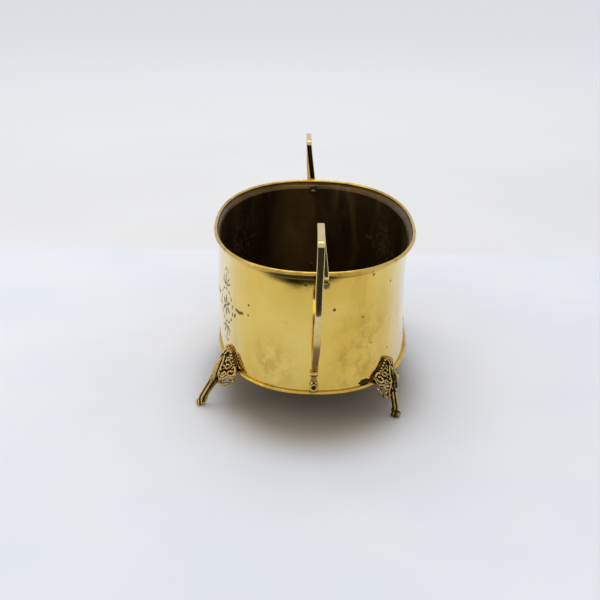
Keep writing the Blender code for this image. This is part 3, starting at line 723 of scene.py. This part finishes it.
def make_wall(outside, inside):
    columns, rows = wall_columns(), wall_rows()
    around = len(columns)
    degrees = degrees_at(columns + arc_at(0))
    arc, z = np.meshgrid(columns, rows)
    mask = np.zeros_like(arc)
    for middle in MEDALLION_ARCS + CENTRE_ARCS:
        radius = CORNER_RADIUS if middle in MEDALLION_ARCS else CENTRE_RADIUS
        strokes = medallion_strokes(radius) + side_strokes(radius, 1) + side_strokes(radius, -1)
        start = (arc_at(middle) - arc_at(0)) % ROUND
        u = ((arc - start + ROUND / 2) % ROUND - ROUND / 2) / MM
        v = (z - MEDALLION_Z) / MM
        local = np.abs(u) < MEDALLION_REACH
        left = WORN_DEPTH if middle == WORN_MEDALLION else 1.0
        mask[local] = np.maximum(mask[local], left * stroke_mask(u[local], v[local], strokes))
    outer, inner = [], []
    for row, height in enumerate(rows):
        inset, lean = wall_inset(height), wall_lean(height)
        push = hand_formed(columns, height) - PUNCH_DEPTH * mask[row]
        x, y, nx, ny = oval_arrays(degrees, inset)
        outer.append(np.stack((x + nx * push - lean, y + ny * push, np.full(around, height)), axis=1))
        hem = 0.0004 * math.exp(-(((height - (RIM_Z - 0.0046)) / 0.0007) ** 2))
        deep = push - SHEET - hem
        inner.append(np.stack((x + nx * deep - lean, y + ny * deep, np.full(around, height)), axis=1))
    points = np.concatenate(outer + inner[::-1])
    faces = ring_faces(2 * len(rows), around, closed=True)
    mesh = mesh_from("wall_sheet", points.tolist(), faces)
    store(mesh, "engrave", np.concatenate((mask.ravel(), mask[::-1].ravel())))
    outer_faces = (len(rows) - 1) * around
    index = np.zeros(len(faces), dtype=np.int32)
    index[outer_faces:] = 1
    piece = make_piece("wall_sheet", mesh, [outside, inside], ["wall_band"])
    piece.data.polygons.foreach_set("material_index", index)


def make_rim(material):
    section = []
    for k in range(18):
        turn = -2 * math.pi * k / 18
        section.append((
            RIM_BEAD_RADIUS - RIM_BEAD_RADIUS * math.cos(turn),
            RIM_Z - RIM_BEAD_RADIUS + RIM_BEAD_RADIUS * math.sin(turn),
        ))
    mesh = sweep_oval("rim_roll", section[::-1], 420)
    make_piece("rim_roll", mesh, [material], ["rim_bead"])


def make_base_seam(material):
    back = WALL_INSET_BASE - GAP / 2
    middle = BASE_Z + BASE_BEAD_HEIGHT / 2
    bulge = back - BASE_BEAD_INSET
    section = [(back + 0.0004, BASE_Z)]
    for k in range(11):
        turn = math.radians(-90 + 180 * k / 10)
        section.append((
            back - bulge * (0.30 + 0.70 * math.cos(turn)),
            middle + BASE_BEAD_HEIGHT / 2 * math.sin(turn),
        ))
    section.append((back + 0.0004, BASE_Z + BASE_BEAD_HEIGHT))
    mesh = sweep_oval("base_seam", section, 420)
    make_piece("base_seam", mesh, [material], ["base_bead"])


def make_floor(material):
    """The floor sheet, a little uneven, with a pressed line near its edge."""
    around, rings = 180, 30
    degrees = degrees_at(arc_at(0) + np.arange(around) / around * ROUND)
    x, y, _, _ = oval_arrays(degrees, WALL_INSET_BASE + SHEET / 2)
    top, under = [], []
    for k in range(rings):
        share = 1 - k / rings
        share = share if k else 0.999
        px, py = x * share, y * share
        press = -0.00025 * math.exp(-(((share - 0.90) / 0.012) ** 2))
        wave = 0.00014 * np.sin(px * 90 + 1.0) * np.cos(py * 70) + press
        top.append(np.stack((px, py, FLOOR_Z + SHEET + wave), axis=1))
        under.append(np.stack((px, py, np.full(around, FLOOR_Z) + wave), axis=1))
    points = np.concatenate(under[::-1] + top).tolist()
    faces = ring_faces(2 * rings, around, closed=False)
    last = len(points) - around
    faces.append(tuple(range(last, last + around)))
    faces.append(tuple(range(around))[::-1])
    mesh = mesh_from("floor_sheet", points, faces)
    store(mesh, "engrave", np.zeros(len(points)))
    make_piece("floor_sheet", mesh, [material], ["floor_plate"])


# ---- handles -------------------------------------------------------------------------------------
def eased(corners):
    """A line through (point, ease) corners, rounded where ease isn't 0 and cut into short runs."""
    line = [Vector(corners[0][0])]
    for before, (here, ease), after in zip(corners, corners[1:], corners[2:]):
        here = Vector(here)
        start = here + (Vector(before[0]) - here).normalized() * ease
        end = here + (Vector(after[0]) - here).normalized() * ease
        for k in range(11):
            share = k / 10
            line.append(start.lerp(here, share).lerp(here.lerp(end, share), share))
    line.append(Vector(corners[-1][0]))
    fine = [line[0]]
    for here in line[1:]:
        steps = max(int((here - fine[-1]).length / 0.0025), 1)
        start = fine[-1]
        fine += [start.lerp(here, k / steps) for k in range(1, steps + 1)]
    return fine


def lean_at(end, out, z):
    """How far the strap stands off the middle plane."""
    _, handle_rise, lug_x, top_x, foot_x = HANDLES[end]
    lug_z = RIM_Z - UPPER_RIVET_DROP
    rise = min(max((z - lug_z) / (handle_rise + UPPER_RIVET_DROP), 0), 1)
    drop = min(max((z - BASE_Z) / (RIM_Z - BASE_Z + handle_rise), 0), 1)
    inner = lug_x + (top_x - lug_x) * rise
    outer = foot_x + (top_x - foot_x) * drop
    share = min(max((out - 2.4 * STRAP_THICKNESS) / (HANDLE_REACH * 0.6), 0), 1)
    return outer if z < lug_z - LUG_LENGTH else inner + (outer - inner) * share


def strap_section(width, thickness, corner):
    """A rounded rectangle with slightly full sides, as (across, out) points."""
    points = []
    for cx, cy, start in ((1, 1, 0), (-1, 1, 90), (-1, -1, 180), (1, -1, 270)):
        for k in range(5):
            turn = math.radians(start + 90 * k / 4)
            points.append((
                cx * (width / 2 - corner) + corner * math.cos(turn),
                cy * (thickness / 2 - corner) + corner * math.sin(turn),
            ))
    return points


def make_handle(end, strap, cast):
    side, handle_rise, lug_x, top_x, foot_x = HANDLES[end]
    half = STRAP_THICKNESS / 2
    lug_z = RIM_Z - UPPER_RIVET_DROP
    eye_z = BASE_Z + LOWER_EYE_RISE
    lug = half + GAP - wall_inset(lug_z)
    tail = half + GAP - WALL_INSET_BASE - 0.0001
    arm = half + 2 * GAP
    top = RIM_Z + handle_rise - half
    knuckle_z = BASE_Z + KNUCKLE_RISE
    corners = [
        ((lug, lug_z - 0.0008), 0),
        ((lug, lug_z + 0.0029), 0.0007),
        ((arm, RIM_Z - RIM_BEAD_RADIUS * 2), 0.0009),
        ((arm, top), 0.0024),
        ((HANDLE_REACH - half, top - HANDLE_DROOP), 0.0020),
        ((HANDLE_REACH - half, KNEE_Z), 0.0140),
        ((tail, knuckle_z), 0.0020),
        ((tail, BASE_Z + TAIL_END), 0),
    ]
    line = eased(corners)
    section = strap_section(STRAP_WIDTH, STRAP_THICKNESS, STRAP_CORNER)
    points = []
    count = len(line)
    for k, here in enumerate(line):
        along = (line[min(k + 1, count - 1)] - line[max(k - 1, 0)]).normalized()
        away = Vector((along.y, -along.x))
        neck = min(max((here.y - BASE_Z - TAIL_END) / TAIL_NECK, 0.0), 1.0)
        width = 0.62 + 0.38 * neck if here.x < 0.002 and here.y < 0.06 else 1.0
        waver = 0.00010 * math.sin(here.y * 160 + here.x * 90)
        for across, out in section:
            u, z = here.x + away.x * out, here.y + away.y * out
            x = across * width + lean_at(end, here.x, here.y) + waver
            points.append((x, side * (HALF_LENGTH + u), z))
    around = len(section)
    faces = ring_faces(count, around, closed=False)
    faces.append(tuple(range(around))[::-1])
    faces.append(tuple(range((count - 1) * around, count * around)))
    mesh = mesh_from(f"strap_{end}", points, faces)
    turn_outwards(mesh)
    make_piece(f"strap_{end}", mesh, [strap], [f"handle_{end}"])
    make_strap_ends(end, cast, side, lug_x, foot_x, lug_z, eye_z, knuckle_z)


def make_strap_ends(end, cast, side, lug_x, foot_x, lug_z, eye_z, knuckle_z):
    """The hollow lug under the rim, the knuckle, its twisted neck and the round eye at the base."""
    work = bmesh.new()

    def at(x, out, z):
        return Vector((x, side * (HALF_LENGTH + out), z))

    def ring(x, out, z, major, minor):
        turns = [2 * math.pi * k / 24 for k in range(25)]
        line = [at(x + major * math.cos(turn), out, z + major * math.sin(turn)) for turn in turns]
        add_tube(work, line, [minor] * len(line))

    lug_out = 0.0019 + GAP - wall_inset(lug_z)
    ring(lug_x, lug_out + 0.0004, lug_z, 0.0025, 0.00095)
    add_ball(work, at(lug_x, lug_out - 0.0006, lug_z), (0.0029, 0.0010, 0.0029))
    eye_out = 0.0018 + GAP - WALL_INSET_BASE
    ring(foot_x, eye_out + 0.0005, eye_z, 0.0024, 0.00105)
    add_ball(work, at(foot_x, eye_out - 0.0008, eye_z), (0.0026, 0.0008, 0.0026))
    ledge_out = 0.0024 - WALL_INSET_BASE + GAP
    knuckle = [
        at(foot_x + u * MM, ledge_out + 0.0004, knuckle_z - 0.0011 + u * 0.00004)
        for u in (-2.3, -1.2, 0, 1.2, 2.3)
    ]
    add_tube(work, knuckle, [0.00095, 0.00115, 0.00125, 0.00115, 0.00095])
    for lean in (-1, 1):
        neck = catmull([
            (foot_x + lean * 0.0022, ledge_out, knuckle_z - 0.0014),
            (foot_x + lean * 0.0007, ledge_out - 0.0002, knuckle_z - 0.0052),
            (foot_x - lean * 0.0008, eye_out + 0.0003, eye_z + 0.0052),
            (foot_x - lean * 0.0018, eye_out + 0.0003, eye_z + 0.0024),
        ])
        add_tube(work, [at(*place) for place in neck], [0.00095] * len(neck))
    mesh = fuse(work, f"strap_ends_{end}", STRAP_END_VOXEL)
    make_piece(f"strap_ends_{end}", mesh, [cast])


def make_rivet(name, node, material):
    """A hammered rivet: low domed heads with flats, on a shank, where the CAD rivet is."""
    low, high = (Vector(corner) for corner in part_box(node))
    middle = (low + high) / 2
    half = (high.y - low.y) / 2
    radius = RIVET_HEAD_RADIUS
    profile = [(0.0, half), (0.35, half - 0.00004), (0.62, half - 0.00018), (0.84, half - 0.00042),
               (0.96, half - 0.00070), (1.0, half - 0.00092), (0.97, half - RIVET_HEAD),
               (0.54, half - RIVET_HEAD - 0.00002)]
    profile += [(share, -out) for share, out in profile[::-1]]
    around = 28
    points = []
    for share, out in profile:
        for k in range(around):
            turn = 2 * math.pi * k / around
            dent = 1 - 0.05 * max(math.sin(3 * turn + 0.6), 0) * (share > 0.9)
            points.append((
                middle.x + radius * share * dent * math.cos(turn),
                middle.y + out,
                middle.z + radius * share * dent * math.sin(turn),
            ))
    mesh = mesh_from(name, points, ring_faces(len(profile), around, closed=False))
    turn_outwards(mesh, weld=True)
    make_piece(name, mesh, [material], [node])


# ---- feet ----------------------------------------------------------------------------------------
def plaque_half_width(height):
    if height > 0:
        share = 1 - min(height / PLAQUE_TOP, 1.0)
        return PLAQUE_TOP_HALF_WIDTH + (PLAQUE_HALF_WIDTH - PLAQUE_TOP_HALF_WIDTH) * share**1.4
    share = 1 - min(height / PLAQUE_BOTTOM, 1.0)
    return PLAQUE_NECK_HALF_WIDTH + (PLAQUE_HALF_WIDTH - PLAQUE_NECK_HALF_WIDTH) * share**1.1


def turned(along, height, lean):
    """A place on a casting after the casting is turned in its own plane."""
    size = math.hypot(1, lean)
    return (along + lean * height) / size, (height - lean * along) / size


def plaque_front(along, height, above_seam, spine_out):
    across = min(abs(along) / plaque_half_width(height), 1.0)
    rise = min(max(height / PLAQUE_TOP, 0), 1)
    spine = spine_out - 0.0008 + (PLAQUE_UPPER_EDGE + PLAQUE_TOP_CROWN - spine_out) * rise
    bend = min(max((above_seam - BASE_BEAD_HEIGHT) / PLAQUE_BEND_HEIGHT, 0), 1)
    edge = PLAQUE_EDGE + (PLAQUE_UPPER_EDGE - PLAQUE_EDGE) * bend
    return edge + max(spine - edge, 0.0004) * (1 - across**1.5)


def spiral(centre, outer, inner, start, sweep, steps=16):
    """A scroll in the plaque's plane, in millimetres, with its radius falling as it turns."""
    line = []
    for k in range(steps + 1):
        share = k / steps
        radius = outer + (inner - outer) * share**0.8
        turn = math.radians(start + sweep * share)
        line.append((centre[0] + radius * math.cos(turn), centre[1] + radius * math.sin(turn)))
    return line


def plaque_strokes():
    """Scrollwork of one half of the casting: (line in millimetres, start radius, end radius, lift)."""
    scrolls = (
        (((11.4, 1.2), 3.3, 0.9, 100, -395), 0.95, 0.66, 0.6),
        (((7.2, 4.4), 2.3, 0.7, 80, -380), 0.72, 0.52, 0.3),
        (((5.0, 8.6), 1.7, 0.5, 60, -360), 0.62, 0.46, 0.2),
        (((5.9, -4.3), 1.9, 0.7, 150, 330), 0.72, 0.58, 0.3),
        (((7.7, 0.0), 1.7, 0.5, 200, 340), 0.62, 0.48, 0.3),
    )
    bars = (
        (((14.2, 0.2), (13.0, -2.0), (10.6, -3.2), (8.3, -2.9)), 0.80, 0.68, 0.2),
        (((12.2, -2.6), (10.8, -4.4), (9.2, -4.6)), 0.60, 0.45, 0.1),
        (((8.6, -3.4), (8.2, -5.4), (7.2, -7.4), (6.0, -9.2)), 0.60, 0.60, 0.0),
        (((1.8, -12.4), (4.4, -11.2), (7.4, -8.8), (9.6, -6.9), (10.8, -6.7)), 1.15, 0.85, 0.5),
        (((2.4, 9.6), (3.6, 5.5), (4.0, 1.0), (3.7, -3.5), (2.8, -7.5), (1.6, -10.5)), 0.55, 0.55, 1.0),
        (((4.6, 12.4), (6.2, 8.8), (9.2, 5.2), (12.4, 3.0)), 0.45, 0.45, -0.1),
        (((1.2, 10.4), (2.2, 12.2), (4.0, 13.2)), 0.60, 0.40, 0.4),
    )
    return [(spiral(*scroll), *rest) for scroll, *rest in scrolls] + [
        (catmull(bar, 5), *rest) for bar, *rest in bars
    ]


def plaque_beads():
    """Pearls, leaf tips and knobs of one half: (along, height, radii in millimetres, lift)."""
    beads = []
    for k in range(7):
        height = 12.6 - 1.75 * k
        along = plaque_half_width(height * MM) / MM - 1.35
        beads.append((along, height, (0.92, 0.80, 0.92), 0.25))
    for k in range(6):
        height = 6.6 - 2.5 * k
        beads.append((4.75 + 0.25 * math.sin(k * 1.7), height, (0.82, 0.75, 0.95), 0.5))
    beads += [
        (2.1, 13.4, (0.80, 0.80, 1.60), 0.3),
        (4.2, 13.2, (0.75, 0.75, 1.40), 0.1),
        (11.0, -6.6, (1.15, 1.00, 1.15), 0.3),
        (2.4, -12.9, (1.30, 1.30, 1.30), 0.4),
        (3.9, -8.6, (1.00, 0.90, 1.10), 0.4),
        (14.5, 0.6, (0.80, 0.80, 1.00), 0.2),
    ]
    chance = random.Random(5)
    for _ in range(22):
        height = chance.uniform(0.0, 11.5)
        reach = plaque_half_width(height * MM) / MM - 2.2
        along = chance.uniform(4.4, max(reach, 4.8))
        size = chance.uniform(0.38, 0.62)
        beads.append((along, height, (size, size, size), chance.uniform(-0.2, 0.25)))
    return beads


def add_plate(work, centre, lean, spine_out):
    """The casting's thin back plate, scalloped along its top, down to just below the base seam."""
    low, high = -PLATE_BELOW_SEAM, PLAQUE_TOP - 0.0006

    def place(front, across, rise):
        height = low + (high - low) * rise
        half = plaque_half_width(height) - PLATE_INSIDE
        if height < 0:
            half = PLAQUE_HALF_WIDTH - 0.0020
        along = half * across
        scallop = 0.0004 * math.sin(abs(along) * 2200) * (rise == 1)
        here, up = turned(along, height + scallop, lean)
        out = plaque_front(along, max(height, 0), up, spine_out)
        out -= PLATE_FRONT if front else PLATE_BACK
        return on_wall(centre, here, max(out, 0.0002), up)

    add_slab(work, 32, 20, place)


def leg_stations(spine_out, reach):
    middle = spine_out - 0.0030
    return (
        (0.0060, middle - 0.0016, 0.0018),
        (-0.0020, middle + (reach - middle) * 0.08, 0.0025),
        (-0.0085, middle + (reach - middle) * 0.28, 0.0024),
        (-0.0145, middle + (reach - middle) * 0.56, 0.0022),
        (-0.0200, middle + (reach - middle) * 0.80, 0.0021),
        (-0.0240, reach - 0.0020, 0.0021),
    )


def add_scrollwork(work, centre, lean, spine_out):
    """Both halves of the scrolls, pearls and knobs, and the crest above the spine."""

    def on_plaque(mirror, along, height, lift):
        """World place on the casting's front, from its own drawing in millimetres."""
        height = height * MM * (UPPER_STRETCH if height > 0 else 1)
        place = turned(mirror * along * MM, height, lean)
        out = plaque_front(along * MM, height, place[1], spine_out) + lift * MM
        return on_wall(centre, place[0], out, place[1])

    for mirror in (1, -1):
        for line, start, end, lift in plaque_strokes():
            places = [on_plaque(mirror, along, height, lift) for along, height in line]
            count = len(places)
            radii = [(start + (end - start) * k / (count - 1)) * MM for k in range(count)]
            add_tube(work, places, radii)
            add_ball(work, places[-1], (radii[-1] * 1.5,) * 3)
        for along, height, radii, lift in plaque_beads():
            add_ball(work, on_plaque(mirror, along, height, lift), [radius * MM for radius in radii])
    add_ball(work, on_plaque(1, 0, 13.0, 0.3), (0.0010, 0.0010, 0.0017))


def add_leg(work, attach, normal, pointing, lean, spine_out, reach):
    """The leg's two cores and three ribs, and the smooth boss on the spine between two rails."""

    def leg_place(height, out, shift):
        turn = min(max(-height / BASE_Z, 0), 1)
        way = normal.lerp(pointing, turn).normalized()
        across = Vector((-way.y, way.x, 0))
        place = attach + way * out + across * (shift + lean * max(height, 0))
        return Vector((place.x, place.y, BASE_Z + height))

    def add_along(stations, shift=0.0, sides=8):
        fine = catmull(stations, 8)
        line = [leg_place(height, out, shift) for height, out, _ in fine]
        add_tube(work, line, [radius for _, _, radius in fine], sides=sides)

    depth = reach * LEG_DEPTH
    slim = min(SHORT_LEG_SHARE + SHARE_PER_REACH * reach, 1.0)
    stations = [(h, out, r * slim) for h, out, r in leg_stations(spine_out, reach)]
    for side in (1, -1):
        add_along([(h, out + side * depth, r) for h, out, r in stations], sides=14)
    for shift, inward in ((0.0, 0.0), (0.0019 * slim, 0.0012), (-0.0019 * slim, 0.0012)):
        ribs = [(h, out + depth + r * 0.72 + 0.0004 - inward, 0.00085) for h, out, r in stations[2:]]
        add_along(ribs, shift)
    boss = (
        (0.0092, spine_out - 0.0056, 0.0006),
        (0.0074, spine_out - 0.0046, 0.0014),
        (0.0042, spine_out - 0.0030, 0.0021),
        (0.0004, spine_out - 0.0014, 0.0025),
        (-0.0030, spine_out - 0.0002, 0.0022),
        (-0.0054, spine_out + 0.0008, 0.0014),
        (-0.0070, spine_out + 0.0012, 0.0006),
    )
    add_along(boss, sides=16)
    for side in (1, -1):
        rail = [leg_place(h, out - 0.0012, side * (r + 0.0005)) for h, out, r in boss[:-1]]
        line = [Vector(point) for point in catmull(rail, 5)]
        add_tube(work, line, [0.00048] * len(line))


def add_toe(work, toe, heading):
    """The rounded toe with two grooved bands over it."""
    facing = Matrix.Rotation(math.radians(heading), 3, "Z")
    middle = Vector((toe.x, toe.y, TOE_HEIGHT / 2 - 0.0004))
    add_ball(work, middle, (TOE_LENGTH / 2, TOE_WIDTH / 2, TOE_HEIGHT / 2), facing, 12)
    for offset in (-0.0012, 0.0010):
        band = []
        for k in range(17):
            turn = math.radians(-30 + 240 * k / 16)
            local = Vector((
                offset + 0.0012 * math.cos(turn),
                math.cos(turn) * TOE_WIDTH / 2 * 0.90,
                math.sin(turn) * TOE_HEIGHT / 2 * 0.92,
            ))
            band.append(middle + facing @ local)
        add_tube(work, band, [0.00062] * len(band))


def make_foot(label, material):
    centre, lean, spine_out, reach, heading = FEET[label]
    x, y, nx, ny = (float(value) for value in oval_arrays(np.array(centre), WALL_INSET_BASE))
    attach, normal = Vector((x, y, 0)), Vector((nx, ny, 0))
    pointing = Vector((math.cos(math.radians(heading)), math.sin(math.radians(heading)), 0))
    work = bmesh.new()
    add_plate(work, centre, lean, spine_out)
    add_scrollwork(work, centre, lean, spine_out)
    add_leg(work, attach, normal, pointing, lean, spine_out, reach)
    add_toe(work, attach + pointing * reach, heading)
    mesh = fuse(work, f"cast_foot_{label}", CAST_VOXEL, ground=True)
    make_piece(f"cast_foot_{label}", mesh, [material], [f"foot_{label}"])


def make_solder(label, material):
    """Uneven solder between a foot and the wall, squeezed out a little past the casting's edge."""
    centre, lean = FEET[label][:2]
    chance = random.Random(label)
    phase = [chance.uniform(0, 6.28) for _ in range(4)]
    low, high = 0.0034, PLAQUE_TOP - 0.0005

    def place(front, across, rise):
        height = low + (high - low) * rise
        spill = 0.0001 + 0.0003 * math.sin(rise * 11 + phase[0] + across)
        along, up = turned(across * (plaque_half_width(height) + spill), height, lean)
        up = max(up, BASE_BEAD_HEIGHT + GAP)
        edge = max(abs(across), abs(2 * rise - 1)) ** 6
        lumps = 0.0002 * math.sin(along * 900 + phase[1]) * math.sin(height * 1100 + phase[2])
        thick = (0.0010 + lumps) * (1 - 0.80 * edge) if front else -0.0002
        bend = wall_inset(BASE_Z + up) - WALL_INSET_BASE
        return on_wall(centre, along, thick - bend, up)

    work = bmesh.new()
    add_slab(work, 60, 30, place)
    bmesh.ops.recalc_face_normals(work, faces=work.faces[:])
    mesh = bpy.data.meshes.new(f"solder_bed_{label}")
    work.to_mesh(mesh)
    work.free()
    make_piece(f"solder_bed_{label}", mesh, [material], [f"solder_{label}"])


# ---- stage ---------------------------------------------------------------------------------------
def flat_card(name, low, high, z, material):
    points = [(low[0], low[1], z), (high[0], low[1], z), (high[0], high[1], z), (low[0], high[1], z)]
    card = bpy.data.objects.new(name, mesh_from(name, points, [(0, 1, 2, 3)]))
    card.data.materials.append(material)
    bpy.context.scene.collection.objects.link(card)
    return card


def only_reflected(card):
    card.visible_camera = False
    card.visible_shadow = False
    card.visible_diffuse = False
    card.visible_transmission = False


def plain(name, colour, rough=0.9):
    s = Shader(name, 0.0)
    tone = s.noise(6, 3, 0.5)
    darker = tuple(value * 0.7 for value in colour)
    return s.finish(s.mix(tone, colour, darker), rough)


def make_stage():
    flat_card("floor", (-14, -14), (14, 14), 0.0, table_cloth())
    only_reflected(flat_card(
        "dark_room_flag", (-1.1, -1.4), (1.1, -0.392), 0.0010, plain("dark_flag", (0.006, 0.006, 0.004))
    ))
    only_reflected(flat_card(
        "green_flag", (-0.075, -0.52), (-0.035, -0.396), 0.0016, plain("green_flag", (0.02, 0.10, 0.02))
    ))
    world = bpy.data.worlds.new("soft_studio")
    bpy.context.scene.world = world
    world.use_nodes = True
    background = world.node_tree.nodes["Background"]
    background.inputs["Color"].default_value = (0.93, 0.95, 1.0, 1)
    background.inputs["Strength"].default_value = 0.78
    for name, place, size, power in (
        ("overhead_softbox", (-0.10, 0.45, 1.30), 1.0, 4.5),
        ("left_softbox", (-1.20, -0.20, 0.75), 0.8, 1.4),
    ):
        lamp = bpy.data.lights.new(name, "AREA")
        lamp.shape = "SQUARE"
        lamp.size = size
        lamp.energy = power
        lamp.color = (1.0, 0.98, 0.95)
        holder = bpy.data.objects.new(name, lamp)
        holder.location = place
        away = Vector(place) - Vector((0, 0, 0.06))
        holder.rotation_euler = away.to_track_quat("Z", "Y").to_euler()
        bpy.context.scene.collection.objects.link(holder)


def make_camera():
    """A 54 mm view down the pot's long axis, from a little above, turned by under a degree."""
    pitch, roll, distance = math.radians(22.9), math.radians(0.89), 0.7340
    ahead = Vector((0, math.cos(pitch), -math.sin(pitch)))
    right, up = Vector((1, 0, 0)), Vector((0, math.sin(pitch), math.cos(pitch)))
    place = Vector((-0.01061, 0, 0.05281)) - ahead * distance
    turned_right = right * math.cos(roll) + up * math.sin(roll)
    turned_up = up * math.cos(roll) - right * math.sin(roll)
    lens = bpy.data.cameras.new("camera")
    lens.lens = 54.0
    lens.sensor_width = 36.0
    lens.clip_start = 0.01
    camera = bpy.data.objects.new("camera", lens)
    camera.matrix_world = Matrix((
        (turned_right.x, turned_up.x, -ahead.x, place.x),
        (turned_right.y, turned_up.y, -ahead.y, place.y),
        (turned_right.z, turned_up.z, -ahead.z, place.z),
        (0, 0, 0, 1),
    ))
    bpy.context.scene.collection.objects.link(camera)
    bpy.context.scene.camera = camera


def main():
    bpy.context.scene.view_settings.view_transform = "Standard"
    make_camera()
    make_stage()
    rim, strap, rivet = rim_brass(), strap_brass(), rivet_brass()
    inside = patinated_inside()
    spread_foot_brass = cast_brass("cast_foot_brass", -0.05)
    # The short-reach feet take more of the black-brown hollow colour and come out darker.
    straight_foot_brass = cast_brass("darker_cast_foot_brass", 0.32)
    end_brass = cast_brass("cast_end_brass", -0.05)
    make_wall(polished_wall(), inside)
    make_rim(rim)
    make_base_seam(rim)
    make_floor(inside)
    for end in HANDLES:
        make_handle(end, strap, end_brass)
        for place in ("upper", "lower"):
            make_rivet(f"{place}_rivet_head_{end}", f"{place}_rivet_{end}", rivet)
        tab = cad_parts[f"rivet_tab_{end}"]
        for k in range(len(tab.material_slots)):
            tab.material_slots[k].material = rivet
    solder = old_solder()
    for label, foot in FEET.items():
        make_foot(label, straight_foot_brass if foot[1] else spread_foot_brass)
        make_solder(label, solder)


main()
